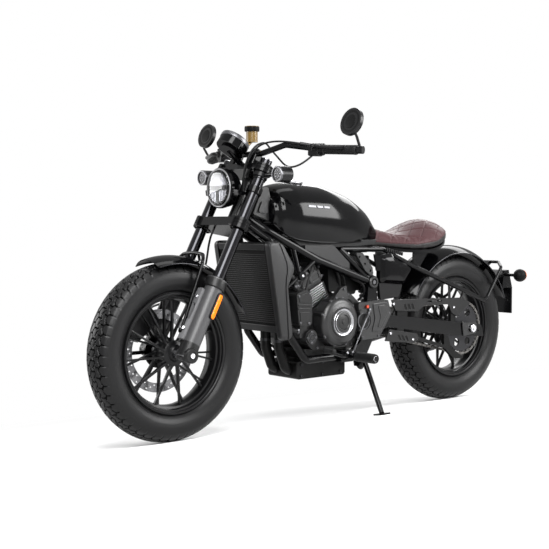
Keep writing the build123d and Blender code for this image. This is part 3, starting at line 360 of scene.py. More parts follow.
# A tube: a circle carried along a path without twist; radius is one number or one for each point
def pipe(path, radius, sides=16):
    path = np.asarray(path, float)
    tangent = np.gradient(path, axis=0)
    tangent /= np.linalg.norm(tangent, axis=1)[:, None]
    across, _ = axes(tangent[0])
    rings = []
    a = np.linspace(0, 2 * math.pi, sides, endpoint=False)
    for point, along, r in zip(path, tangent, np.broadcast_to(radius, len(path))):
        across = unit(across - along * np.dot(across, along))
        up = np.cross(along, across)
        rings.append(point + r * (np.cos(a)[:, None] * across + np.sin(a)[:, None] * up))
    return np.concatenate(rings), gridFaces(len(path), sides) + endFaces(len(path), sides)


def circle(x, z, radius, sides=32):
    a = np.radians(np.linspace(0, 360, sides, endpoint=False))
    return [(x + radius * math.cos(t), z + radius * math.sin(t)) for t in a]


# A plate centred on its plane, with bevelled edges; the first loop is its outline and the others are holes
def cutPlate(loops, thickness, bevel=0.8, origin=(0, 0, 0), right=(1, 0, 0), up=upward):
    curve = bpy.data.curves.new("outline", "CURVE")
    curve.dimensions = "2D"
    curve.fill_mode = "BOTH"
    curve.extrude = max(thickness / 2 - bevel, 0.01)
    curve.bevel_depth = bevel
    curve.offset = -bevel
    curve.bevel_resolution = 1
    for loop in loops:
        spline = curve.splines.new("POLY")
        spline.points.add(len(loop) - 1)
        spline.points.foreach_set("co", np.array([(x, y, 0, 1) for x, y in loop], float).ravel())
        spline.use_cyclic_u = True
    holder = bpy.data.objects.new("outline", curve)
    bpy.context.scene.collection.objects.link(holder)
    mesh = evaluated(holder, "outline")
    flat = coordinates(mesh)
    faces = [list(polygon.vertices) for polygon in mesh.polygons]
    bpy.data.objects.remove(holder)
    bpy.data.curves.remove(curve)
    bpy.data.meshes.remove(mesh)
    right, up = unit(right), unit(up)
    across, along, through = flat[:, :1] * right, flat[:, 1:2] * up, flat[:, 2:] * np.cross(right, up)
    return np.asarray(origin, float) + across + along + through, faces


def sidePlate(loops, outside, thickness, bevel=0.8):  # a plate in a side outline (x, z), inwards from a y
    return cutPlate(loops, thickness, bevel, (0, outside - thickness / 2, 0))


def evaluated(piece, name):  # a piece with its modifiers applied, as a new mesh
    made = bpy.data.meshes.new_from_object(piece.evaluated_get(bpy.context.evaluated_depsgraph_get()))
    made.name = name
    return made


def coordinates(mesh):
    flat = np.zeros(len(mesh.vertices) * 3)
    mesh.vertices.foreach_get("co", flat)
    return flat.reshape(-1, 3)


def bolt(place, along, radius=5.0, tall=4.0, sides=24):  # a round head with a socket
    socket = radius * 0.55
    profile = [(-1, radius), (tall - 0.8, radius), (tall, radius - 0.8), (tall, socket),
               (tall - 2, socket * 0.9)]
    return turn(profile, place, along, sides)


def hexNut(place, along, radius=9.0, tall=7.0):
    return turn([(-1, radius), (tall - 1, radius), (tall, radius * 0.9)], place, along, 6)


# Places on a circle in a side view, at angles in degrees
def around(x, y, z, radius, angles):
    return [(x + radius * math.cos(a), y, z + radius * math.sin(a)) for a in np.radians(angles)]


# Tyres: the imported profile with a stepped zig-zag tread cut into it, and painted shade in its grooves
tyres = {
    "front": {"centre": frontAxle, "radius": 320.0, "half": 65.0, "sag": 20.0, "crown": 53.0, "bead": 44.0},
    "rear": {"centre": rearAxle, "radius": 323.0, "half": 75.0, "sag": 24.0, "crown": 62.0, "bead": 50.0},
}
tread = {
    "around": 760, "across": 74, "repeats": 54, "depth": 4.2, "groove": 2.3, "flange": 218.0, "inside": 206.0,
    "rows": ((0.0, 0.07), (0.36, 0.09), (0.74, 0.07)),  # place and swing, in crowns
    "cuts": ((0.06, 0.36, 0.0), (0.4, 0.74, 0.5), (0.78, 1.16, 0.25)),  # from, to and lag round the tyre
    "cutHalf": 0.062, "cutSlant": 0.35,
    "lineHeight": 0.012,
}


def arcThrough(a, b, c, count):  # points on the circle through three 2-D points, from a to c
    a, b, c = (np.asarray(p, float) for p in (a, b, c))
    m = 2 * np.array([b - a, c - a])
    centre = np.linalg.solve(m, [b @ b - a @ a, c @ c - a @ a])
    first, middle, last = (math.atan2(*(p - centre)[::-1]) for p in (a, b, c))
    sweep = (last - first + math.pi) % (2 * math.pi) - math.pi
    part = (middle - first + math.pi) % (2 * math.pi) - math.pi
    if sweep * part < 0:
        sweep -= math.copysign(2 * math.pi, sweep)
    t = first + np.linspace(0, 1, count) * sweep
    return centre + np.linalg.norm(a - centre) * np.stack([np.cos(t), np.sin(t)], 1)


def zigzag(phase):  # a wave of straight runs between -1 and 1
    return 4 * np.abs(phase % 1 - 0.5) - 1


# 0 on the blocks and 1 in a groove, from y across the tyre and the angle round it
def treadDepth(y, angle, crown):
    turns = angle / (2 * math.pi) * tread["repeats"]
    depth = np.zeros_like(y)
    side = np.abs(y)
    for row, (place, swing) in enumerate(tread["rows"]):
        centre = crown * (place + swing * zigzag(turns + 0.25 * row))
        away = np.abs((side if place else y) - centre)
        depth = np.maximum(depth, np.clip((tread["groove"] - away) / 0.8 + 0.5, 0, 1))
    for low, high, lag in tread["cuts"]:
        phase = (turns + lag + tread["cutSlant"] * side / crown + np.where(y > 0, 0.5, 0)) % 1
        cut = np.clip((tread["cutHalf"] - np.abs(phase - 0.5)) / 0.03 + 0.5, 0, 1)
        depth = np.maximum(depth, cut * ((side > low * crown) & (side < high * crown)))
    return depth


for name, size in tyres.items():
    bead, half, crown, radius = size["bead"], size["half"], size["crown"], size["radius"]
    shoulder = (crown, radius - size["sag"])
    wall = arcThrough((bead, tread["flange"]), (half, tread["flange"] + 41), shoulder, 20)
    cap = arcThrough(shoulder, (0, radius), (-crown, radius - size["sag"]), tread["across"])
    inside = [(-bead, tread["inside"]), (bead, tread["inside"])]
    profile = np.concatenate([inside, wall[:-1], cap, (wall * (-1, 1))[::-1][1:]])
    y, r = profile[:, :1], profile[:, 1:]
    angle = np.linspace(0, 2 * math.pi, tread["around"], endpoint=False)[None]
    # the tread is cut along the radius, and the sidewall carries three raised lines
    outside = np.arange(len(profile))[:, None] >= len(inside)
    depth = treadDepth(*np.broadcast_arrays(y, angle), crown) * ((r > radius - size["sag"] - 9) & outside)
    depth *= np.clip((np.abs(y) < crown * 0.995) + 0.55, 0, 1)
    lines = (0.7 * np.exp(-((r - 232) / 2.2) ** 2) + 0.6 * np.exp(-((r - 246) / 1.5) ** 2)
             + 1.0 * np.exp(-((r - radius + 37) / 1.8) ** 2))
    reach = r - tread["depth"] * depth
    wide = y * (1 - tread["lineHeight"] + tread["lineHeight"] * lines * outside)
    points = np.stack([size["centre"][0] + reach * np.cos(angle), np.broadcast_to(wide, reach.shape),
                       size["centre"][2] + reach * np.sin(angle)], -1)
    faces = gridFaces(len(profile), tread["around"], closeRows=True)
    piece = addPiece("tyre_%s_tread" % name, [(points.reshape(-1, 3), faces)], (tyreRubber, groovePaintedShade),
                     name + "_wheel", 28, ("tyre_" + name,))
    # faces deep in a groove take the second paint, the painted shade
    deep = depth.ravel()[np.array(faces)].mean(1) > 0.55
    piece.data.polygons.foreach_set("material_index", deep.astype(np.int32))
print("tyres done")

# Wheels: a stepped rim, a coned hub and slim cast spokes in splayed pairs
wheels = {
    "front": {"centre": frontAxle, "half": 52.0, "hub": 56.0, "edge": 44.0},
    "rear": {"centre": rearAxle, "half": 58.0, "hub": 88.0, "edge": 50.0},
}
castSpoke = {"count": 22, "splay": 12.0, "root": (17.0, 9.5), "tip": (10.5, 6.5),
             "from": (40, 30), "to": (191, 9)}  # (radius, y) of its ends
rim = {
    "lip": [(3, 217.0), (0, 215.0), (0, 210.0), (2, 207.5), (8, 206.5), (9, 201.0), (12, 199.0), (22, 198.0),
            (25, 192.0)],  # (inwards from the rim's side, radius)
    "bed": [(14, 189.0), (10, 187.0)],
    "well": (216.0, 206.0), "sides": 144,
}


# A tapering bar of rounded oblong section that flares into what it meets at each end
def castBar(root, tip, rootSize, tipSize, flare=1.5):
    along = unit(tip - root)
    across = unit(np.array([0, 1.0, 0]) - along * along[1])
    flat = np.cross(along, across)
    corner = np.array(oblong(-0.5, 0.5, -0.5, 0.5, 0.3, 3))
    rings = []
    for t, swell in ((0, flare), (0.05, 1 + (flare - 1) * 0.3), (0.12, 1), (0.5, 0.96), (0.86, 1),
                     (0.95, 1 + (flare - 1) * 0.4), (1, flare)):
        size = (np.array(rootSize) * (1 - t) + np.array(tipSize) * t) * swell
        section = corner[:, :1] * size[0] * across + corner[:, 1:] * size[1] * flat
        rings.append(root + (tip - root) * t + section)
    return np.concatenate(rings), gridFaces(len(rings), len(corner))


for name, size in wheels.items():
    centre, half, hub = size["centre"], size["half"], size["hub"]
    lip = [(half - inset, r) for inset, r in rim["lip"]] + rim["bed"]
    outer, inner = rim["well"]
    profile = lip + [(-y, r) for y, r in lip[::-1]]
    profile += [(-half + 9, outer), (-half + 9, inner), (half - 9, inner), (half - 9, outer)]
    points, faces = turn(profile, centre, leftward, rim["sides"], caps=False)
    last = (len(profile) - 1) * rim["sides"]
    faces += [[last + j, last + (j + 1) % rim["sides"], (j + 1) % rim["sides"], j] for j in range(rim["sides"])]
    cone = [(46, 31), (43, 41), (40, 46), (26, 46), (22, 42), (12, 36)]
    barrel = [(-hub, 10.4), (-hub, 24), (-hub + 3, 27), *[(-y, r) for y, r in cone], *cone[::-1],
              (hub - 3, 27), (hub, 24), (hub, 10.4)]
    shapes = [(points, faces), turn(barrel, centre, leftward, 72, caps=False)]
    for n in range(castSpoke["count"]):
        side = 1 if n % 2 else -1
        a = 2 * math.pi * n / castSpoke["count"]
        b = a + side * math.radians(castSpoke["splay"])
        (near, nearY), (far, farY) = castSpoke["from"], castSpoke["to"]
        root = centre + (near * math.cos(a), side * nearY, near * math.sin(a))
        tip = centre + (far * math.cos(b), side * farY, far * math.sin(b))
        shapes.append(castBar(root, tip, castSpoke["root"], castSpoke["tip"]))
    addPiece("wheel_%s_cast" % name, shapes, satinBlack, name + "_wheel", 32, ("wheel_" + name,))
    edge = size["edge"]
    profile = [(edge - 1, 216), (edge + 1.4, 216), (edge + 1.4, 211), (edge - 1, 210)]
    bands = [turn(profile, centre, (0, side, 0), 160, False) for side in (1, -1)]
    addPiece("rim_edges_" + name, bands, darkSteel, name + "_wheel")
print("wheels done")

# Chain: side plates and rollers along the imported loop
chain = {
    "y": 91.0, "rear": 113.0, "drive": 36.0, "driveAt": (655.0, 392.0), "pitch": 15.875,
    "plate": 5.4, "waist": 4.1, "outer": (5.6, 7.2), "inner": (3.4, 5.0),
    "roller": [(-7.5, 2.4), (-7.2, 2.6), (-3.3, 2.6), (-3.3, 5.0), (3.3, 5.0), (3.3, 2.6), (7.2, 2.6),
               (7.5, 2.4)],
}


# The pitch line round both sprockets, as points one pitch apart in (x, z): two arcs and their tangents
def chainPath():
    dx, dz = chain["driveAt"][0], chain["driveAt"][1] - rearAxle[2]
    gap, heading = math.hypot(dx, dz), math.atan2(dz, dx)
    spread = math.atan2(chain["rear"] - chain["drive"], gap)
    top, foot = heading + math.pi / 2 - spread, heading - math.pi / 2 + spread
    a = np.linspace(foot, top - 2 * math.pi, 200)
    rear = np.stack([chain["rear"] * np.cos(a), rearAxle[2] + chain["rear"] * np.sin(a)], 1)
    a = np.linspace(top, foot, 80)
    drive = np.array(chain["driveAt"]) + chain["drive"] * np.stack([np.cos(a), np.sin(a)], 1)
    path = np.concatenate([rear, drive, rear[:1]])
    run = np.concatenate([[0], np.cumsum(np.linalg.norm(np.diff(path, axis=0), axis=1))])
    count = 2 * round(run[-1] / chain["pitch"] / 2)
    steps = np.linspace(0, run[-1], count, endpoint=False)
    return np.stack([np.interp(steps, run, path[:, 0]), np.interp(steps, run, path[:, 1])], 1)


pins = chainPath()
outer, inner, rollers = [], [], []
for k, (pin, after) in enumerate(zip(pins, np.roll(pins, -1, axis=0))):
    middle, along = (pin + after) / 2, unit(after - pin)
    up = np.array([-along[1], along[0]])
    reach = np.linalg.norm(after - pin) / 2
    end = [(reach + chain["plate"] * math.cos(a), chain["plate"] * math.sin(a))
           for a in np.radians([-80, -40, 0, 40, 80])]
    loop = end + [(0, chain["waist"])] + [(-x, z) for x, z in end[::-1]] + [(0, -chain["waist"])]
    ring = [middle + x * along + z * up for x, z in loop]
    near, far = chain["outer"] if k % 2 else chain["inner"]
    n = len(ring)
    faces = [list(range(n)), list(range(2 * n - 1, n - 1, -1))]
    faces += [[j, n + j, n + (j + 1) % n, (j + 1) % n] for j in range(n)]
    for side in (1, -1):
        plate = [(x, chain["y"] + side * lift, z) for lift in (near, far) for x, z in ring]
        (outer if k % 2 else inner).append((np.array(plate), [face[::side] for face in faces]))
    rollers.append(turn(chain["roller"], (pin[0], chain["y"], pin[1]), leftward, 10))
addPiece("chain_links", outer + inner + rollers, chainSteel, "chassis", 30, ("chain",))
print("chain done")

# Cables and hose, on the routes of the part's source; all of them turn with the fork
adjusterIn, adjusterOut = np.array([1046.0, 270, 1058]), np.array([1078.0, 240, 1065])
cords = {
    "clutch_cable": {"diameter": 7.0, "length": 0.485, "route": [
        adjusterOut, adjusterOut + (adjusterOut - adjusterIn) * 0.8, atFork(22, 140, 846),
        atFork(38, 94, 828), atFork(43, 66, 795), atFork(44, 62, 740), atFork(18, 40, 690),
        atFork(-14, 28, 640), atFork(-12, 24, 570), atFork(-12, 24, 530)]},
    "switch_lead": {"diameter": 7.0, "length": 0.62, "route": [
        (1036, 270, 1027), (1062, 256, 1002), (1080, 228, 984), (1086, 190, 980), (1070, 142, 994),
        (1074, 112, 1022), (1092, 94, 1050), atFork(18, 80, 850), atFork(52, 74, 812), atFork(57, 70, 745),
        atFork(28, 54, 690), atFork(-8, 44, 640), atFork(-8, 40, 570), atFork(-8, 40, 530)]},
    "brake_hose": {"diameter": 8.0, "length": 0.525, "route": [
        atFork(4, -30, 495), atFork(4, -30, 470), atFork(-10, -50, 464), atFork(-26, -63, 436),
        atFork(-42, -68, 400), atFork(-60, -76, 356), atFork(-52, -104, 290), atFork(-44, -118, 240),
        atFork(-28, -150, 205), atFork(14, -158, 172), atFork(54, -134, 144), atFork(82, -100, 122),
        atFork(94, -80, 98)]},
}
for name, cord in cords.items():
    route = leaned(cord["route"])
    curve = bpy.data.curves.new(name + "_line", "CURVE")
    curve.dimensions = "3D"
    curve.bevel_depth = cord["diameter"] / 2000
    curve.bevel_resolution = 4
    curve.use_fill_caps = True
    curve.resolution_u = 10
    spline = curve.splines.new("NURBS")
    spline.points.add(len(route) - 1)
    spline.points.foreach_set("co", np.column_stack([route, np.ones(len(route))]).ravel())
    spline.order_u = 3
    spline.use_endpoint_u = True
    line = bpy.data.objects.new(name + "_line", curve)
    curve.materials.append(softRubber.data)
    bpy.context.scene.collection.objects.link(line)
    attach(line, "front_end")
    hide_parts(name)
    cord["diameter"] / 1000
print("cords done")

# Fuel tank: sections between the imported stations, and a nose and tail that close over an ellipse
tank = {
    "x": [1062.0, 1040.0, 1000.0, 960.0, 840.0, 700.0, 590.0, 500.0],
    "bottom": [772.0, 744.0, 722.0, 712.0, 703.0, 702.0, 704.0, 708.0],
    "top": [884.0, 914.0, 927.0, 932.0, 928.0, 898.0, 846.0, 770.0],
    "half": [92.0, 118.0, 133.0, 140.0, 144.0, 132.0, 104.0, 58.0],
    "nose": 14, "noseFlat": 0.15,
    "widest": 0.4, "tuck": 0.13, "roundY": 0.86, "roundZ": 0.92,
    "seamOut": 0.87, "seam": 2.6,
}
filler = {
    "at": (905, 0, 930), "bolts": 33,
    "profile": [(0, 40), (4, 42), (9, 42), (11, 40), (12, 36), (12, 30), (9, 29), (9, 18), (13, 17), (15, 14),
                (15, 0.1)],
}


# A monotone cubic through a table, evaluated at points: Hermite pieces whose grades are harmonic means
def smoothTable(x, values, at):
    order = np.argsort(x)
    x, values = np.asarray(x)[order], np.asarray(values)[order]
    slope = np.diff(values) / np.diff(x)
    before, after = slope[:-1], slope[1:]
    both = np.where(after + before == 0, 1, after + before)
    grade = np.concatenate([slope[:1], np.where(after * before > 0, 2 * after * before / both, 0), slope[-1:]])
    k = np.clip(np.searchsorted(x, at) - 1, 0, len(x) - 2)
    h = x[k + 1] - x[k]
    t = (at - x[k]) / h
    return ((2 * t ** 3 - 3 * t ** 2 + 1) * values[k] + (t ** 3 - 2 * t ** 2 + t) * h * grade[k]
            + (3 * t ** 2 - 2 * t ** 3) * values[k + 1] + (t ** 3 - t ** 2) * h * grade[k + 1])


def tankSize(x):  # lower edge, top and half width at x
    return [smoothTable(tank["x"], tank[key], np.asarray(x, float)) for key in ("bottom", "top", "half")]


stations = np.linspace(500, 1062, 72)
low, high, half = tankSize(stations)
seam = pipe(np.stack([stations, half * tank["seamOut"], low + 1.5], 1), tank["seam"], 10)
nose = np.linspace(0, 1, 9)[1:] * math.pi / 2
stations = np.concatenate([stations, 1062 + tank["nose"] * np.sin(nose)])
squeeze = tank["noseFlat"] + (1 - tank["noseFlat"]) * np.cos(nose) ** 0.6
middle = (low[-1] + high[-1]) / 2
low = np.concatenate([low, middle + (low[-1] - middle) * squeeze])
high = np.concatenate([high, middle + (high[-1] - middle) * squeeze])
half = np.concatenate([half, half[-1] * squeeze])
# each half section rises from the lower edge to the widest line, then runs over to the top
lower = np.linspace(0, 1, 12)[:-1]
upper = np.linspace(0, math.pi / 2, 30)
wide = np.concatenate([1 - tank["tuck"] * (1 - lower) ** 2, np.cos(upper) ** tank["roundY"]])
overWidest = (1 - tank["widest"]) * np.sin(upper) ** tank["roundZ"]
rise = np.concatenate([tank["widest"] * lower, tank["widest"] + overWidest])
wide = np.concatenate([wide, -wide[::-1][1:]])
rise = np.concatenate([rise, rise[::-1][1:]])
points = np.stack(np.broadcast_arrays(stations[:, None], half[:, None] * wide,
                                      low[:, None] + (high - low)[:, None] * rise), -1)
faces = gridFaces(*points.shape[:2]) + endFaces(*points.shape[:2])
addPiece("tank_shell", [(points.reshape(-1, 3), faces), *mirrored(seam)], glossBlack, "chassis", 40,
         ("fuel_tank",))
shapes = [turn(filler["profile"], filler["at"], upward, 64)]
for a in np.radians(range(0, 360, 60)):
    place = (filler["at"][0] + filler["bolts"] * math.cos(a), filler["bolts"] * math.sin(a), 942)
    shapes.append(bolt(place, upward, 2.6, 1.5, 12))
addPiece("tank_cap", shapes, brightSteel, "chassis", 30, ("fuel_cap",))

# Three plain bars where the badge sits; a bar is (from x, to x), all on the same angles over the widest line
badge = {"bars": ((906, 942), (871, 899), (836, 864)), "low": 15, "high": 19.5, "thick": 2.2, "steps": 8}


def onTank(x, lift, out):  # a point on the tank's left side: an angle over the widest line, and out from it
    low, high, half = (float(size) for size in tankSize(x))
    a = math.radians(lift)
    rise = tank["widest"] + (1 - tank["widest"]) * math.sin(a) ** tank["roundZ"]
    y = half * math.cos(a) ** tank["roundY"] + out * math.cos(a)
    return x, y, low + (high - low) * rise + out * math.sin(a)


low, high, thick = badge["low"], badge["high"], badge["thick"]
section = [(low, 0), (low + 0.6, thick), (high - 0.6, thick), (high, 0)]
bars = []
for start, end in badge["bars"]:
    points = [onTank(x, lift, out) for x in np.linspace(start, end, badge["steps"]) for lift, out in section]
    bars.append((np.array(points), gridFaces(badge["steps"], 4) + endFaces(badge["steps"], 4)))
addPiece("tank_badge", mirrored(*bars), darkSteel, "chassis")

skirt = [(1000, 722), (930, 712), (700, 710), (540, 712), (560, 692), (700, 684), (945, 688)]
addPiece("tank_skirt", mirrored(sidePlate([rounded(skirt, 6)], 104, 6, 1)), satinBlack, "chassis")
print("tank done")

# Seat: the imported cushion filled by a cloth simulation, then stitched in diamonds
seat = {"voxel": 0.0055, "pressure": 4.0, "steps": 18, "cap": 0.007, "shrink": 0.0015,
        "stitch": 62.0, "slant": 0.62, "channel": 2.6, "depth": 0.0032, "lip": 2.2,
        "skirt": ((96, 748), (130, 736), (220, 704), (330, 690), (430, 694), (522, 704))}


def cushion():  # the cushion's mesh, swollen between its seams
    piece = bpy.data.objects.new("seat_pad", nodes["seat_cushion"].data.copy())
    bpy.context.scene.collection.objects.link(piece)
    remesh = piece.modifiers.new("voxels", "REMESH")
    remesh.mode = "VOXEL"
    remesh.voxel_size = seat["voxel"]
    smooth = piece.modifiers.new("ease", "SMOOTH")
    smooth.iterations = 6
    piece.data = evaluated(piece, "seat_pad")
    piece.modifiers.clear()
    cloth = piece.modifiers.new("cloth", "CLOTH")
    cloth.settings.use_pressure = True
    cloth.settings.uniform_pressure_force = seat["pressure"]
    cloth.settings.effector_weights.gravity = 0
    cloth.settings.quality = 5
    for step in range(1, seat["steps"] + 1):
        bpy.context.scene.frame_set(step)
    swollen = coordinates(evaluated(piece, "swollen"))
    piece.modifiers.clear()
    bpy.context.scene.frame_set(1)
    start = coordinates(piece.data)
    moved = swollen - start
    far = np.linalg.norm(moved, axis=1)[:, None]
    start = start + moved * np.minimum(1, seat["cap"] / np.maximum(far, 1e-9))
    piece.data.vertices.foreach_set("co", start.ravel())
    subdivide = piece.modifiers.new("finer", "SUBSURF")
    subdivide.levels = subdivide.render_levels = 1
    piece.data = evaluated(piece, "seat_pad")
    piece.modifiers.clear()
    return piece


def overSkirt(points):  # height over the line where the skirt begins
    return points[:, 2] - np.interp(points[:, 0], *np.array(seat["skirt"]).T)


seatPiece = cushion()
shape = coordinates(seatPiece.data)
normals = np.zeros(shape.size)
seatPiece.data.vertices.foreach_get("normal", normals)
flat = upright(shape)
# channels lie on two families of slanting lines, and fade out at the skirt
above = np.clip((overSkirt(flat) - 4) / 12, 0, 1)
groove = np.zeros(len(flat))
for slope in (1, -1):
    run = (flat[:, 0] * seat["slant"] + slope * flat[:, 1]) / seat["stitch"]
    away = np.abs(run - np.round(run)) * seat["stitch"]
    groove = np.maximum(groove, np.exp(-(away / seat["channel"]) ** 2))
lip = np.exp(-(overSkirt(flat) / seat["lip"]) ** 2)
inwards = seat["depth"] * (groove * above + 0.7 * lip) + seat["shrink"]
seatPiece.data.vertices.foreach_set("co", (shape - normals.reshape(-1, 3) * inwards[:, None]).ravel())
seatPiece.data.materials.clear()
for paint in (seatLeather, skirtLeather):
    seatPiece.data.materials.append(paint.data)
centres = np.zeros(len(seatPiece.data.polygons) * 3)
seatPiece.data.polygons.foreach_get("center", centres)
below = overSkirt(upright(centres.reshape(-1, 3))) < 0
seatPiece.data.polygons.foreach_set("material_index", below.astype(np.int32))
seatPiece.data.shade_smooth()
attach(seatPiece, "chassis")
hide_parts("seat_cushion")
print("seat done")

# Engine: fin edges, cover rings and bolts. The cylinders lean forward by their own angle.
cylinder = {"lean": 25.0, "foot": (842.0, 450.0),
            "fins": 8, "pitch": 8.5, "first": 27.5, "halfLong": 61.0, "halfWide": 103.0}
bank = math.radians(cylinder["lean"])
barrelX = np.array([math.cos(bank), 0, -math.sin(bank)])
barrelZ = np.array([math.sin(bank), 0, math.cos(bank)])


def onHead(along, y, rise):  # a point on the leaning cylinders and their head
    return np.array([cylinder["foot"][0], y, cylinder["foot"][1]]) + barrelX * along + barrelZ * rise


shapes = []
for n in range(cylinder["fins"]):
    loops = []
    for grow, corner in ((0.4, 20.0), (-0.9, 19.0)):
        x, y = cylinder["halfLong"] + grow, cylinder["halfWide"] + grow
        loops.append(oblong(-x, x, -y, y, corner))
    place = onHead(0, 0, cylinder["first"] + cylinder["pitch"] * n)
    shapes.append(cutPlate(loops, 1.5, 0.3, place, barrelX, leftward))
addPiece("cylinder_fin_edges", shapes, turnedSteel, "chassis", 40)

alternator = {"at": (806.0, 399.0), "bolts": [20, 62, 100, 140, 178, 215, 250, 288, 325], "boltRing": 91,
              "rings": (52.4, 42.0, 33.0)}
x, z = alternator["at"]
centre = (x, 0, z)
cone = turn([(183, 52), (187, 51), (184.5, 41), (187.5, 40), (185, 31), (183, 30)], centre, leftward, 96, False)
addPiece("alternator_cone", [cone], ringSteel, "chassis", 20)
shapes = [turn([(184, r), (188.6, r - 0.4), (189.4, r - 1.2), (188.6, r - 2), (184, r - 2.4)], centre, leftward,
               96, False) for r in alternator["rings"]]
addPiece("alternator_rings", shapes, turnedSteel, "chassis")
hub = [(183, 30), (186, 29), (187.5, 25), (187.5, 9), (189.5, 8), (190, 4), (190, 0.1)]
shapes = [turn(hub, centre, leftward, 64),
          turn([(166, 60), (185, 59), (186.5, 57), (186.5, 53), (184, 52)], centre, leftward, 96, False)]
shapes += [turn([(-32, 9), (14, 9), (15.5, 7.5)], place, leftward, 24)
           for place in around(x, 150, z, alternator["boltRing"], alternator["bolts"])]
addPiece("alternator_hub", shapes, castDark, "chassis")

engineBolts = {
    "leftCovers": [(783, 167, 524), (826, 167, 492), (770, 167, 478), (560, 178, 462), (545, 178, 420),
                   (606, 178, 334), (694, 178, 332), (952, 158, 520), (1008, 158, 506), (958, 158, 402),
                   (1000, 158, 406), (915, 149, 346), (957, 149, 346), (936, 149, 367), (936, 149, 325)],
    "leftCase": [(716, 500), (936, 416), (944, 336), (700, 302), (880, 300)],
    "rightCase": [(650, 440), (650, 310), (936, 416), (944, 300), (700, 490)],
    "clutch": (780, 394), "clutchBolts": range(10, 370, 40), "clutchRing": 85,
}
shapes = [bolt(place, leftward, 5, 3.5)
          for place in around(x, 165, z, alternator["boltRing"], alternator["bolts"])]
shapes += [bolt(place, leftward, 4.5, 4) for place in engineBolts["leftCovers"]]
shapes += [bolt((x, 118, z), leftward, 5, 4) for x, z in engineBolts["leftCase"]]
addPiece("engine_bolts_left", shapes, darkSteel, "chassis")
x, z = engineBolts["clutch"]
shapes = [bolt(place, (0, -1, 0), 5, 4)
          for place in around(x, -166, z, engineBolts["clutchRing"], engineBolts["clutchBolts"])]
shapes += [bolt((x, -118, z), (0, -1, 0), 5, 4) for x, z in engineBolts["rightCase"]]
shapes.append(turn([(0, 58), (2, 57), (2, 40), (0.5, 39), (0.5, 20), (4, 18), (4, 0.1)], (780, -175, 394),
                   (0, -1, 0), 64))
addPiece("engine_bolts_right", shapes, darkSteel, "chassis")

# Sprocket cover: a window with its crescent, two raised facets, and the gear linkage that crosses it
window = (689, 0, 397)
recess = turn([(177.5, 33.5), (179, 33), (179, 29), (177.5, 28), (177.5, 0.1)], window, leftward, 64)
addPiece("sprocket_window", [recess], castGrey, "chassis")
crescent = turn([(179, 33.4), (181, 32.6), (181, 29.6), (179, 28.8)], window, leftward, 64, False)
addPiece("sprocket_crescent", [crescent], darkSteel, "chassis")
facets = {
    "wide": [(640, 462), (562, 466), (546, 418), (596, 350), (646, 350), (628, 400)],
    "narrow": [(612, 452), (570, 455), (558, 420), (600, 366), (614, 368), (598, 408)],
}
shapes = [sidePlate([rounded(facets["wide"], 10)], 181, 5, 2.2),
          sidePlate([rounded(facets["narrow"], 8)], 183, 4, 1.6)]
addPiece("sprocket_facets", shapes, castGrey, "chassis")
linkage = {"top": np.array([664.0, 188, 438]), "foot": np.array([752.0, 182, 276]), "nuts": (0.08, 0.8)}
top, foot = linkage["top"], linkage["foot"]
shapes = [turn([(-6, 7), (6, 7), (7, 5)], place - (0, 4, 0), leftward, 24) for place in (top, foot)]
shapes.append(pipe([top, top + (foot - top) * 0.5, foot], 2.8, 12))
shapes += [turn([(0, 4.6), (22, 4.6)], top + (foot - top) * t, foot - top, 6) for t in linkage["nuts"]]
addPiece("gear_linkage", shapes, darkSteel, "chassis")

# Oil filler with its ribs, neutral switch, and water pump
oil = {"at": (760, 158, 466), "ribs": range(0, 360, 30), "ribRing": 17}
shapes = [turn([(0, 17), (10, 17), (12, 15), (12, 0.1)], oil["at"], leftward, 40)]
shapes += [turn([(0, 2.4), (11, 2.4)], place, leftward, 8)
           for place in around(*oil["at"], oil["ribRing"], oil["ribs"])]
addPiece("oil_filler", shapes, plasticBlack, "chassis")
addPiece("neutral_switch", [hexNut((674, 178, 452), leftward, 7, 9)], copperBolt, "chassis", 20)
pump = (936, 0, 346)
cap = turn([(149, 25), (152, 24), (152, 17), (150, 16), (150, 9), (153, 8), (153, 0.1)], pump, leftward, 48)
addPiece("pump_cap", [cap], castDark, "chassis")
shapes = [turn([(149, 22.5), (150.6, 22), (150.6, 20.6), (149, 20)], pump, leftward, 48, False),
          turn([(152, 14.5), (153.6, 14), (153.6, 12.6), (152, 12)], pump, leftward, 48, False)]
addPiece("pump_rings", shapes, darkSteel, "chassis")

# Cylinder head: side plate, cam plugs, bolts and the coil's plug
head = {"plugs": (-28, 28), "bolts": [(along, rise) for along in (-49, 0, 49) for rise in (106, 138)]}
shapes = []
for side in (1, -1):
    loops = [oblong(-54, 54, -19, 19, 9), oblong(-45, -6, -12, 12, 5), oblong(6, 45, -12, 12, 5)]
    shapes.append(cutPlate(loops, 5, 1.2, onHead(0, side * 95, 122), barrelX, barrelZ))
    shapes += [turn([(0, 19), (9, 19), (11, 17), (11, 12), (8, 11), (8, 4), (10, 3), (10, 0.1)],
                    onHead(along, side * 84, 157), (0, side, 0), 40) for along in head["plugs"]]
    shapes += [bolt(onHead(along, side * 97, rise), (0, side, 0), 4.2, 4) for along, rise in head["bolts"]]
shapes.append(turn([(0, 17), (10, 17), (13, 13), (28, 12), (30, 9)], onHead(0, 20, 172), barrelZ, 32))
addPiece("head_details", shapes, castGrey, "chassis")

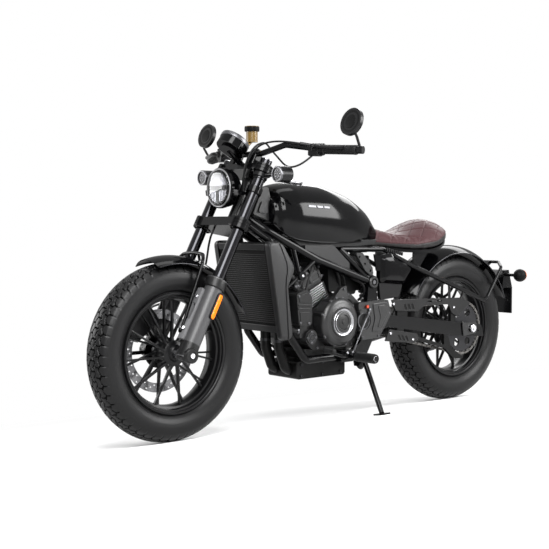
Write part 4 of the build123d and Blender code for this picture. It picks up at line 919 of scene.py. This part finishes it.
# Hoses and leads: radius, sides, how far a corner is rounded, and the route
hoses = {
    "plugLead": (4.5, 12, 26, [onHead(0, 20, 196), onHead(2, 30, 216), (905, 60, 668), (850, 62, 672),
                               (770, 60, 664)]),
    "coolantTop": (13, 20, 30, [(985, 118, 524), (990, 112, 566), (1040, 104, 600), (1078, 104, 606)]),
    "coolantFoot": (13, 20, 24, [(985, 128, 373), (1012, 126, 374), (1030, 110, 400), (1046, 104, 446),
                                 (1066, 104, 452)]),
    "coolantRight": (13, 20, 30, [(965, -96, 500), (1000, -104, 560), (1040, -104, 600), (1078, -104, 606)]),
    "breather": (6, 12, 30, [(720, 70, 500), (742, 96, 560), (770, 100, 606), (840, 98, 640),
                             (930, 92, 668)]),
    "rearLead": (4, 12, 30, [(700, 78, 500), (720, 104, 556), (752, 108, 596), (800, 104, 650),
                             (840, 92, 690)]),
    "frontLead": (4, 12, 30, [(936, 100, 470), (930, 112, 540), (900, 108, 600), (880, 96, 650),
                              (900, 90, 690)]),
    "sensorLead": (5, 12, 24, [(640, 96, 470), (624, 120, 500), (640, 126, 540), (690, 110, 560),
                               (700, 92, 590)]),
}
shapes = [pipe(bent(route, rounding), radius, sides) for radius, sides, rounding, route in hoses.values()]
addPiece("engine_hoses", shapes, softRubber, "chassis", 40)
clamps = {
    "bands": [((987, 116, 540), (0.05, -0.12, 1)), ((1052, 104, 602), (1, 0, 0.15)),
              ((995, 128, 373.5), (1, 0, 0)), ((1052, 104, 449), (1, 0, 0.3)),
              ((1052, -104, 602), (1, 0, 0.15))],
    "headBolts": [(-58, 150), (58, 150), (-58, 112), (60, 128), (0, 168)], "headNuts": (-60, 60),
}
shapes = []
for place, along in clamps["bands"]:
    shapes.append(turn([(-4, 13.4), (-4, 14.6), (4, 14.6), (4, 13.4)], place, along, 32, False))
    shapes.append(bolt(np.add(place, (0, 15 * np.sign(place[1]), 0)), upward, 3, 4, 12))
shapes += [bolt(onHead(along, side * 93, rise), (0, side, 0), 4.5, 6) for side in (1, -1)
           for along, rise in clamps["headBolts"]]
shapes += [hexNut(onHead(0, y, 171), barrelZ, 7, 8) for y in clamps["headNuts"]]
addPiece("hose_clamps", shapes, darkSteel, "chassis")

# Coolant box: two ribs round its middle, a filler cap and two raised panels
coolant = {"ribs": (452, 466), "cap": (985, 130, 522),
           "panels": ([(953, 404), (1001, 408), (1005, 446), (953, 444)],
                      [(951, 478), (1007, 482), (1010, 506), (968, 518), (951, 496)])}
shapes = [sidePlate([rounded([(946, z), (1012, z + 4), (1013, z + 10), (946, z + 6)], 2.5)], 160.5, 4, 1)
          for z in coolant["ribs"]]
shapes += [sidePlate([rounded(panel, 7)], 160, 3, 1) for panel in coolant["panels"]]
shapes.append(turn([(0, 15), (8, 15), (10, 13), (10, 0.1)], coolant["cap"], (0, 0.2, 1), 32))
addPiece("coolant_details", shapes, satinGrey, "chassis")

# Radiator: core fins and two tanks, in the plane from its foot to its top
radiator = {"top": (1158.0, 0, 706.0), "foot": (1094.0, 0, 372.0), "fins": 34, "pitch": 7.8, "tanks": (15, 325)}
radFoot = np.array(radiator["foot"])
radUp = unit(np.subtract(radiator["top"], radFoot))
radOut = np.cross(leftward, radUp)
fin = oblong(-127, 127, -1.3, 1.3, 1)
shapes = [cutPlate([fin], 4, 0.2, radFoot + radUp * (38 + radiator["pitch"] * n) - radOut * 3, leftward, radUp)
          for n in range(radiator["fins"])]
addPiece("radiator_core", shapes, castDark, "chassis")
flank = oblong(-138, 138, -12, 12, 6)
shapes = [cutPlate([flank], 6, 1.5, radFoot + radUp * rise + radOut * 1.5, leftward, radUp)
          for rise in radiator["tanks"]]
addPiece("radiator_tanks", shapes, satinGrey, "chassis")

# Exhaust: bolted box, joint rings, slotted heat shield and tail ring
exhaust = {
    "bolts": [(725, 236), (820, 238), (930, 236), (930, 192), (820, 190), (725, 192)], "ports": (40, -40),
    "joint": (484, -194.6, 268), "jointAlong": (-0.987, -0.013, 0.15), "along": (-408, -5.5, 62),
    "shield": (284.0, -246.0, 299.5), "slots": (-96, -44, 8, 60), "tail": (50, -200.5, 334.5),
}
shapes = [bolt((x, side * 84, z), (0, side, 0), 5.5, 5) for side in (1, -1) for x, z in exhaust["bolts"]]
shapes += [turn([(-5, 17.5), (-5, 21), (5, 21), (5, 17.5)], (1006, y, 330), (0.03, 0, 1), 36, False)
           for y in exhaust["ports"]]
shapes.append(turn([(-9, 30), (-9, 33), (9, 33), (9, 30)], exhaust["joint"], exhaust["jointAlong"], 48, False))
addPiece("exhaust_fixings", shapes, ringDark, "chassis")
pipeAlong = unit(exhaust["along"])
pipeUp = unit(np.cross(leftward, pipeAlong))
slots = [rounded([(x, -9), (x + 26, -9), (x + 34, 9), (x + 8, 9)], 4) for x in exhaust["slots"]]
edge = rounded([(-150, -24), (130, -24), (152, 24), (-128, 24)], 10)
shield = cutPlate([edge, *slots], 4, 1.2, exhaust["shield"], pipeAlong, pipeUp)
addPiece("heat_shield", [shield], satinGrey, "chassis")
tail = turn([(-2, 34), (1, 34.4), (3, 33), (3, 27), (-14, 25.5), (-14, 0.1)], exhaust["tail"], pipeAlong, 64)
addPiece("silencer_tail", [tail], darkSteel, "chassis")
print("engine done")

# Headlamp face: bezel, reflector ribs behind a dark mask, and a clear lens
forward = (1, 0, 0)
lamp = {"at": np.array([1248.0, 0, 907.0]), "ribs": 15, "ribPitch": 7, "feet": 5, "footPitch": 8.5}
shapes = [turn([(12, 71), (15.5, 72), (18, 69), (17, 66.5), (13, 66)], lamp["at"], forward, 96, False)]
addPiece("lamp_bezel", shapes, ringSteel, "front_end")
shapes = []
for n in range(lamp["ribs"]):
    y = lamp["ribPitch"] * (n - lamp["ribs"] // 2)
    top = math.sqrt(58.0 ** 2 - y * y)
    place = lamp["at"] + (14.2 - 0.0006 * y * y, 0, 0)
    shapes.append(cutPlate([oblong(y - 3.1, y + 3.1, 8, top, 2)], 3, 0.8, place, leftward, upward))
for side in (1, -1):
    for n in range(lamp["feet"]):
        y = side * (12 + lamp["footPitch"] * n)
        foot = 2 - math.sqrt(56.0 ** 2 - y * y)
        loop = rounded([(y - 2.6, -8), (y + 2.6, -8), (y + 2.6, foot), (y - 2.6, foot)], 2)
        shapes.append(cutPlate([loop], 3, 0.8, lamp["at"] + (14.2, 0, 0), leftward, upward))
addPiece("lamp_reflector", shapes, lampSteel, "front_end")
mask = rounded([(-62, -6), (-8, -6), (-8, -60), (8, -60), (8, -6), (62, -6), (60, 6), (-60, 6)], 3)
shapes = [cutPlate([mask], 4, 1, lamp["at"] + (15, 0, 0), leftward, upward),
          turn([(12.2, 66), (12.4, 62), (12.4, 0.1)], lamp["at"], forward, 64, False),
          turn([(13, 66), (18, 65), (18, 58), (14, 57)], lamp["at"], forward, 96, False)]
addPiece("lamp_mask", shapes, glossBlack, "front_end")
dome = [(18 + 9 * math.cos(t), 65.5 * math.sin(t)) for t in np.linspace(math.pi / 2, 0.02, 12)]
lens = turn(dome, lamp["at"], forward, 96, False)
addPiece("lamp_lens", [lens], clearLens, "front_end", 60)

# Round indicators: a ring, a mask with nine light dots, all at the top of the fork
indicator = {"ahead": 16, "out": 224, "up": 717, "radius": 29, "deep": 6,
             "dots": range(0, 360, 45), "dotRing": 13.0}
rings, masks, dots = [], [], []
across, up = axes(forward)
radius, deep = indicator["radius"], indicator["deep"]
for side in (1, -1):
    place = atFork(0, 0, indicator["up"]) + (indicator["ahead"], side * indicator["out"], 0)
    profile = [(-2, radius), (deep - 2, radius), (deep, radius - 2), (deep, radius - 5), (deep - 4, radius - 6)]
    rings.append(turn(profile, place, forward, 48, False))
    masks.append(turn([(deep - 4, radius - 5.5), (deep - 4, 0.1)], place, forward, 48, False))
    spots = [(0, 0)] + [(indicator["dotRing"] * math.cos(a), indicator["dotRing"] * math.sin(a))
                        for a in np.radians(indicator["dots"])]
    dots += [turn([(deep - 5, 3.8), (deep - 2.6, 3.6), (deep - 1.2, 2.2), (deep - 0.8, 0.1)],
                  place + across * x + up * z, forward, 16) for x, z in spots]
addPiece("indicator_rings", rings, darkSteel, "front_end")
addPiece("indicator_masks", masks, glossBlack, "front_end")
addPiece("indicator_lights", dots, lampSteel, "front_end", 50)

# Gauge: ring, glass, and ticks round three quarters of the dial
gauge = {"at": np.array([1198.0, 0, 1066.0]), "tilt": 38, "ticks": range(-120, 130, 10), "tickRing": 43}
tilt = math.radians(gauge["tilt"])
gaugeUp = np.array([-math.sin(tilt), 0, math.cos(tilt)])
gaugeDown = np.cross(leftward, gaugeUp)
profile = [(8, 55.2), (9, 57.5), (21, 58), (23, 57), (24, 54.5), (24.5, 51), (23, 50)]
addPiece("gauge_ring", [turn(profile, gauge["at"], gaugeUp, 96, False)], darkSteel, "front_end")
glass = turn([(23.6, 51), (24.6, 48), (25.4, 30), (25.8, 0.1)], gauge["at"], gaugeUp, 64, False)
addPiece("gauge_glass", [glass], gaugeGlass, "front_end", 50)
shapes = []
for number, a in enumerate(np.radians(gauge["ticks"])):
    out = math.sin(a) * np.array([0, 1.0, 0]) - math.cos(a) * gaugeDown
    inner = -1.6 if number % 4 else -3
    shapes.append(cutPlate([[(inner, -0.5), (3, -0.5), (3, 0.5), (inner, 0.5)]], 0.5, 0.1,
                           gauge["at"] + gaugeUp * 25.6 + out * gauge["tickRing"], out, np.cross(gaugeUp, out)))
shapes.append(turn([(25, 9), (27, 8), (27, 0.1)], gauge["at"], gaugeUp, 32))
addPiece("gauge_ticks", shapes, brightSteel, "front_end")

# Fork: dust collars and feet, framed plates, clamp collars, bolts and caps
sliders = {
    "collar": [(255, 33.2), (256, 37), (259, 39), (285, 39), (291, 37), (293, 33), (294, 24), (298, 23),
               (298, 21.8)],
    "foot": [(-16, 0.1), (-16, 27), (-10, 33.2), (40, 33.4), (44, 33)],
    "axleCap": [(118, 27), (145, 27), (149, 24), (149, 15), (146, 14), (146, 0.1)],
    "legCap": [(778, 21.5), (780, 21.5), (782, 19), (782, 14), (779, 13), (779, 9), (785, 9), (785, 0.1)],
    "axleBolt": [(145, 9.5), (150, 9), (150, 5), (147, 4), (147, 0.1)],
    "plateBolts": (84, 206), "clampBolts": ((26, 96, 506), (26, 96, 519), (24, 92, 740)),
    "tubeRings": [(697, 700), (733, 738), (748, 757)],
    "clamps": ((491, 534), (722, 757)), "lugs": ((494, 531), (724, 754)),
}
collars, plates, bolts, clampCollars = [], [], [], []
for side in (1, -1):
    out, inwards = (0, side, 0), (0, -side, 0.05)
    leg = atFork(0, side * fork["legs"], 0)
    collars += [turn(sliders["collar"], leg, forkZ, 48, False), turn(sliders["foot"], leg, forkZ, 48, False),
                turn(sliders["axleCap"], frontAxle, out, 40)]
    plates.append(cutPlate([oblong(-15, 15, 44, 240, 5), oblong(-9, 9, 120, 180, 4)], 16, 1.5,
                           atFork(36, side * 95, 0), leftward, forkZ))
    bolts += [bolt(atFork(43.5, side * 95, z), forkX, 7, 4) for z in sliders["plateBolts"]]
    bolts += [turn(sliders["legCap"], leg, forkZ, 40), turn(sliders["axleBolt"], frontAxle, out, 32)]
    bolts += [bolt(atFork(x, side * y, z), inwards, 4.5, 3) for x, y, z in sliders["clampBolts"]]
    clampCollars += [turn([(a, 22), (a, 24.5), (b, 24.5), (b, 22)], leg, forkZ, 40, False)
                     for a, b in sliders["tubeRings"]]
    for low, high in sliders["clamps"]:
        mid = (low + high) / 2
        profile = [(low, 31), (low + 2, 35), (mid - 6, 35), (mid - 5, 33.4), (mid - 3, 33.4), (mid - 2, 35),
                   (mid + 5, 35), (mid + 6, 33.4), (mid + 8, 33.4), (mid + 9, 35), (high - 2, 35),
                   (high, 31), (high, 22)]
        clampCollars.append(turn(profile, leg, forkZ, 48, False))
    place = atFork(30, side * 104, 0)
    clampCollars += [cutPlate([oblong(-9, 9, low, high, 3)], 20, 1.5, place, leftward, forkZ)
                     for low, high in sliders["lugs"]]
addPiece("slider_collars", collars, satinGrey, "front_end")
addPiece("slider_plates", plates, plateGrey, "front_end")
addPiece("fork_bolts", bolts, brightSteel, "front_end")
addPiece("clamp_collars", clampCollars, frameBlack, "front_end")

# Side reflectors on their backs, turned outwards and a little to the rear
reflector = {"at": (-17, 138.5, 196), "back": 0.52, "out": 0.86}
shapes, backs = [], []
for side in (1, -1):
    x, y, z = reflector["at"]
    out = unit(-reflector["back"] * forkX + np.array([0, side * reflector["out"], 0]))
    place = atFork(x, side * y, z)
    across = np.cross(out, forkZ)
    shapes.append(cutPlate([oblong(-46, 46, -13, 13, 11, 7)], 6, 1.5, place + out * 4, forkZ, across))
    backs.append(cutPlate([oblong(-50, 50, -16, 16, 13, 7)], 8, 1, place - out * 0.5, forkZ, across))
addPiece("fork_reflectors", shapes, orangeLens, "front_end")
addPiece("reflector_backs", backs, satinBlack, "front_end")

# Mirrors: stepped backs, and glass that faces the rider
mirror = {"at": (990.0, 424, 1132), "along": (14, 0, 4), "glass": [(-0.8, 0.1), (-0.6, 47)],
          "back": [(-1, 44), (-1, 48), (1, 49.5), (9, 49.5), (13, 46.5), (15, 40), (15, 34), (13.5, 33),
                   (13.5, 26), (16, 24), (17, 18), (17, 0.1)]}
x, y, z = mirror["at"]
for name, part, paint, slot in (("mirror_backs", "back", plasticBlack, None),
                                ("mirror_glass", "glass", mirrorGlass, "mirror_glass")):
    shapes = [turn(mirror[part], (x, side * y, z), mirror["along"], 72, False) for side in (1, -1)]
    addPiece(name, shapes, paint, "front_end")

# Grips: ribbed rubber that ends in a rolled edge
grip = {"in": np.array([1018.0, 298, 1043]), "out": np.array([972.0, 425, 1037]),
        "pitch": 5, "low": 16.2, "high": 17.3}
gripAlong = unit(grip["out"] - grip["in"])
length = np.linalg.norm(grip["out"] - grip["in"])
profile = [(2, 12), (2, 19), (6, 19)]
for n in range(int((length - 20) / grip["pitch"])):
    start = 9 + grip["pitch"] * n
    profile += [(start, grip["low"]), (start + 2.5, grip["low"]),
                (start + 2.6, grip["high"]), (start + 4.4, grip["high"])]
profile += [(length - 4, 18), (length, 17), (length + 1, 12)]
addPiece("grip_ribs", mirrored(turn(profile, grip["in"], gripAlong, 32)), softRubber, "front_end", 30,
         ("grips",))

# Controls: switch housings, perches, levers, the horn button and the reservoir's cap
perch = grip["in"] - gripAlong * 14
control = {
    "lever": [perch + (16, -8, 6), perch + (44, 10, 10), grip["in"] + gripAlong * 40 + (44, 0, 6),
              grip["in"] + gripAlong * 108 + (34, 0, 6)],
    "leverRadius": [9, 6.5, 6.5, 8.5], "leverPlaces": [0, 0.3, 0.95, 1],
    "reservoir": (1074, -38, 1083),
}
lever = bent(control["lever"], 24)
thick = np.interp(np.linspace(0, 1, len(lever)), control["leverPlaces"], control["leverRadius"])
shapes = [cutPlate([oblong(-26, 16, -19, 19, 8)], 44, 4, grip["in"] - gripAlong * 26 + (0, 0, -6), gripAlong,
                   np.cross(gripAlong, forward)),
          pipe(lever, thick, 14),
          turn([(-10, 13), (12, 13), (14, 11)], perch + (22, -6, 6), (0.1, 0, 1), 24)]
addPiece("control_housings", mirrored(*shapes), satinBlack, "front_end")
button = turn([(0, 4.5), (3, 4.2), (3.6, 3)], grip["in"] - gripAlong * 22 + (-16, 0, -18), (-0.7, 0, -0.7), 20)
addPiece("horn_button", [button], redLens, "front_end")
cap = turn([(42, 27.5), (46, 28.5), (58, 28.5), (62, 26), (62, 0.1)], control["reservoir"], upward, 40)
addPiece("reservoir_cap", [cap], plasticBlack, "front_end")
print("front done")

# Bodywork: gloss side covers, their feet and ribs, and the radiator shrouds with a seam
covers = {
    "outline": [(566, 650), (566, 540), (424, 528), (374, 592), (502, 660)],
    "rings": [(0, 125), (0, 138), (2, 144), (17, 155), (19, 157.5), (30, 159), (48, 160)],
    "tab": [(604, 656), (566, 648), (566, 590), (590, 588)],
    "foot": [(562, 541), (424, 529), (443, 477), (552, 470)],
    "ribs": [(500 - 11 * n, 664 - 2.4 * n) for n in range(9)],
}
shrouds = {
    "outline": [(1100, 345), (1046, 345), (1064, 545), (1031, 618), (1098, 712), (1164, 712)],
    "rings": [(0, 142), (0, 150), (1.5, 158), (5, 164), (10, 167), (16, 168)],
    "seam": [(1112, 169, 704), (1070, 169, 620), (1082, 169, 560), (1068, 169, 352)],
}


# A cushion over a clockwise side outline (x, z): each ring is (inset towards the middle, y)
def domed(outline, rings, corner):
    loop = np.array(rounded(outline, corner, 8))
    middle = loop.mean(0)
    inward = (middle - loop) / np.linalg.norm(middle - loop, axis=1)[:, None]
    points = [np.insert(loop + inward * inset, 1, y, axis=1) for inset, y in rings]
    return np.concatenate(points), gridFaces(len(rings), len(loop)) + endFaces(len(rings), len(loop))[1:]


shell = domed(covers["outline"], covers["rings"], 16)
tab = sidePlate([rounded(covers["tab"], 5)], 152, 8, 1)
foot = sidePlate([rounded(covers["foot"], 10)], 136, 16, 2)
addPiece("side_cover_shells", mirrored(shell, tab), glossBlack, "chassis", 24, ("side_covers",))
addPiece("side_cover_feet", mirrored(foot), satinBlack, "chassis")
ribs = [sidePlate([rounded([(x, z), (x + 5, z + 0.5), (x + 3, z + 14), (x - 2, z + 13.5)], 1.5)], 126, 8, 0.8)
        for x, z in covers["ribs"]]
addPiece("side_cover_ribs", mirrored(*ribs), satinGrey, "chassis")
addPiece("shroud_shells", mirrored(domed(shrouds["outline"], shrouds["rings"], 20)), shroudBlack, "chassis", 24,
         ("radiator_shrouds",))
addPiece("shroud_seams", mirrored(pipe(bent(shrouds["seam"], 60, 14), 1.6, 8)), satinBlack, "chassis", 40)

# Mudguards: rolled edges, and the front one's stay
guards = {
    "front": {"centre": frontAxle, "body": "front_end", "radius": 317.5, "half": 73.8, "span": (74.5, 157.5)},
    "rear": {"centre": rearAxle, "body": "chassis", "radius": 323.5, "half": 88.8, "span": (28.5, 159.5)},
}
for name, guard in guards.items():
    centre, radius = guard["centre"], guard["radius"]
    a = np.radians(np.linspace(*guard["span"], 60))
    y = np.full(60, guard["half"])
    route = np.stack([centre[0] + radius * np.cos(a), y, centre[2] + radius * np.sin(a)], 1)
    addPiece(name + "_fender_edge", mirrored(pipe(route, 2.6, 10)), tubeSteel, guard["body"], 40)
stay = bent([(1494, 84, 400), (1400, 84, 634), (1378, 62, 668), (1378, 0, 672)], 30, 10)
addPiece("fender_stay", mirrored(pipe(stay, 6.4, 16)), frameBlack, "front_end", 40)

# Chain guards with their slots
chainGuards = {
    "upper": [(500, 469), (475, 423), (340, 414), (305, 436), (150, 434), (132, 398), (95, 378), (5, 434),
              (75, 459)],
    "upperSlots": (418, 396, 374), "long": [(285, 456), (190, 454), (196, 446), (285, 448)],
    "lower": [(512, 350), (345, 322), (335, 300), (362, 284), (535, 304)],
    "lowerSlots": (455, 433, 411), "outside": 147.5, "slant": 0.16,
}
slots = [rounded([(x, 448), (x + 12, 448), (x + 2, 424), (x - 10, 424)], 3) for x in chainGuards["upperSlots"]]
shapes = [sidePlate([rounded(chainGuards["upper"], 9), *slots, rounded(chainGuards["long"], 4)],
                    chainGuards["outside"], 5, 1)]
slots = []
for x in chainGuards["lowerSlots"]:
    drop = chainGuards["slant"] * (470 - x)
    slots.append(rounded([(x, 328 - drop), (x + 10, 328 - drop), (x - 4, 304 - drop), (x - 14, 304 - drop)], 3))
shapes.append(sidePlate([rounded(chainGuards["lower"], 8), *slots], chainGuards["outside"], 5, 1))
addPiece("guard_plates", shapes, satinGrey, "chassis")

# Chassis bolts, the frame's side nodes at the swingarm, and the rear axle's blocks
chassis = {
    "bolts": [(488, 147, 452), (118, 147, 420), (505, 147, 334), (372, 147, 300), (600, 146, 544),
              (970, 136, 580), (585, 146, 398), (650, 140, 262), (700, 140, 262)],
    "node": (600, 0, 544), "axleBlock": [(-34, 300), (52, 292), (60, 350), (-34, 346)],
}
shapes = [bolt(place, leftward, 5, 3.5) for place in chassis["bolts"]]
shapes += [hexNut(rearAxle + (0, 156, 0), leftward, 17, 6),
           turn([(160, 9), (168, 8.5), (168, 0.1)], rearAxle, leftward, 24)]
addPiece("chassis_bolts", shapes, brightSteel, "chassis")
block = sidePlate([rounded(chassis["axleBlock"], 8), circle(0, 323, 18)], 148, 5, 1.2)
shapes, bright = mirrored(block), []
for side in (1, -1):
    shapes.append(turn([(136, 24), (146, 24), (149, 21), (149, 15), (145, 14), (145, 0.1)], chassis["node"],
                       (0, side, 0), 40))
    bright.append(turn([(145, 9), (149, 9), (150, 7.5), (150, 0.1)], chassis["node"], (0, side, 0), 6))
addPiece("frame_nodes", shapes, castGrey, "chassis")
addPiece("frame_node_bolts", bright, darkSteel, "chassis")


# Foot pegs and the gear pedal in ribbed rubber: each rib is a groove, a rise, a land and a fall
def ribbed(start, count, pitch, low, high, rise, land):
    rib = ((0, low), (rise, high), (rise + land, high), (2 * rise + land, low))
    return [(start + reach + pitch * n, radius) for n in range(count) for reach, radius in rib]


peg = {"at": (737, 0, 262), "end": (757, 158, 276), "pedal": (888, 0, 295)}
shapes, ends = [], []
for side in (1, -1):
    profile = [(189, 17), *ribbed(191, 13, 7.4, 17, 19, 1, 4), (289, 18), (291, 15)]
    shapes.append(turn(profile, peg["at"], (0, side, 0), 28))
    ends.append(turn([(291, 12), (294, 11), (294, 0.1)], peg["at"], (0, side, 0), 24))
    ends.append(bolt((peg["end"][0], side * peg["end"][1], peg["end"][2]), (0, side, 0), 5, 4))
profile = [(169, 9), *ribbed(171, 8, 6.4, 9, 10.6, 1, 3), (223, 10), (224.5, 7)]
shapes.append(turn(profile, peg["pedal"], leftward, 24))
addPiece("peg_rubbers", shapes, softRubber, "chassis")
addPiece("peg_ends", ends, brightSteel, "chassis")

# Rear spring: a helix round the damper
spring = {"low": (468.0, 0, 432), "high": (540.0, 0, 660), "start": 33, "long": 166,
          "radius": 34.5, "wire": 5.2, "turns": 8.5}
springAlong = unit(np.subtract(spring["high"], spring["low"]))
across, up = axes(springAlong)
t = np.linspace(0, 1, 260)[:, None]
a = 2 * math.pi * spring["turns"] * t
route = (spring["low"] + (spring["start"] + t * spring["long"]) * springAlong
         + spring["radius"] * (np.cos(a) * across + np.sin(a) * up))
addPiece("shock_spring", [pipe(route, spring["wire"], 12)], satinBlack, "chassis", 40)

# Rear lamps: two domed indicator lenses and the tail lens
rearLamp = {"at": (-352, 135.3, 540), "tail": (-397, 0, 526),
            "lens": [(18, 25), (24, 21), (28, 13), (30.2, 4), (30.4, 0.1)]}
x, y, z = rearLamp["at"]
lenses = [turn(rearLamp["lens"], (x, side * y, z), (-1, 0, 0), 40) for side in (1, -1)]
addPiece("rear_indicator_lenses", lenses, orangeLens, "chassis", 50)
tailLens = cutPlate([oblong(-34, 34, -14, 14, 6)], 5, 1.5, rearLamp["tail"], leftward, (0.1, 0, 1))
addPiece("tail_lens", [tailLens], redLens, "chassis")
print("body done")

# Floor: pale near the machine, where its shadow falls, and white further out
floor = {"reach": 60.0, "near": 1.3, "far": 3.2, "tone": 0.86}
floorPaint = Paint("floorPaint", (floor["tone"],) * 3, 0.9, Specular_IOR_Level=0.1)
distance = floorPaint.node("VectorMath", {0: floorPaint.place()}, "Value", operation="LENGTH")
far = floorPaint.node("MapRange", {"Value": distance, "From Min": floor["near"], "From Max": floor["far"]},
                      interpolation_type="SMOOTHSTEP")
glow = floorPaint.node("Emission", {"Color": (1, 1, 1, 1), "Strength": 1.0})
bare = Wire(floorPaint, floorPaint.shader.outputs[0])
blend = floorPaint.node("MixShader", {"Fac": floorPaint.seen() * far, 1: bare, 2: glow})
floorPaint.fill(floorPaint.tree.nodes["Material Output"].inputs["Surface"], blend)
reach = floor["reach"]
floorMesh = bpy.data.meshes.new("floor")
floorMesh.from_pydata([(-reach, -reach, 0), (reach, -reach, 0), (reach, reach, 0), (-reach, reach, 0)], [],
                      [(0, 1, 2, 3)])
floorMesh.materials.append(floorPaint.data)
floorPiece = bpy.data.objects.new("floor", floorMesh)
bpy.context.scene.collection.objects.link(floorPiece)


def aim(thing, columns, place):  # stand a camera or lamp at a place, with its own axes as columns
    thing.matrix_world = Matrix([[*columns[row], place[row]] for row in range(3)] + [[0, 0, 0, 1]])
    bpy.context.scene.collection.objects.link(thing)


# The camera was fitted to the photograph in the upright frame; it leans with the machine
view = {"place": (3704.0, 3192.0, 783.0), "yaw": -130.33, "pitch": 2.76, "lens": 71.64, "sensor": 36}
camera = bpy.data.objects.new("camera", bpy.data.cameras.new("camera"))
camera.data.lens = view["lens"]
camera.data.sensor_width = view["sensor"]
camera.data.clip_end = 200
yaw, pitch = math.radians(view["yaw"]), math.radians(view["pitch"])
look = np.array([math.cos(yaw) * math.cos(pitch), math.sin(yaw) * math.cos(pitch), -math.sin(pitch)])
right = unit(np.cross(look, upward))
aim(camera, stanceTurn @ np.stack([right, np.cross(right, look), -look], 1), leaned(view["place"]))
bpy.context.scene.camera = camera

# Soft lamps, in metres and watts
lamps = {
    "frontLamp": {"place": (1.85, 2.0, 2.2), "aim": (0.3, 0, 0.8), "wide": 1.5, "high": 2.6, "power": 215},
    "sideLamp": {"place": (-1.65, 2.25, 1.35), "aim": (0.2, 0, 0.8), "wide": 1.5, "high": 1.6, "power": 130},
    "topLamp": {"place": (0.0, 0.0, 3.5), "aim": (0, 0, 0.5), "wide": 2.4, "high": 0.7, "power": 22},
    "rearLamp": {"place": (-2.4, -1.1, 2.2), "aim": (0, 0, 0.7), "wide": 2.6, "high": 0.7, "power": 60},
    "rightLamp": {"place": (2.6, -2.8, 1.9), "aim": (0.2, 0, 0.6), "wide": 1.6, "high": 1.2, "power": 75},
}
for name, settings in lamps.items():
    lamp = bpy.data.objects.new(name, bpy.data.lights.new(name, "AREA"))
    lamp.data.shape = "RECTANGLE"
    lamp.data.size = settings["wide"]
    lamp.data.size_y = settings["high"]
    lamp.data.energy = settings["power"]
    back = unit(np.subtract(settings["place"], settings["aim"]))
    side = unit(np.cross(upward, back)) if abs(back[2]) < 0.98 else np.array([1.0, 0, 0])
    aim(lamp, np.stack([side, np.cross(back, side), back], 1), settings["place"])

# World: white where it is seen, and a weak fill everywhere else
studio = {"fill": 0.18, "seen": 1.0}
world = bpy.data.worlds.new("studio")
world.use_nodes = True
bpy.context.scene.world = world
sky = Graph(world.node_tree)
background = world.node_tree.nodes["Background"]
sky.fill(background.inputs["Color"], (1, 1, 1, 1))
sky.fill(background.inputs["Strength"], sky.node("MapRange", {"Value": sky.seen(), "To Min": studio["fill"],
                                                              "To Max": studio["seen"]}))
bpy.context.scene.view_settings.view_transform = "Standard"
print("stage done")
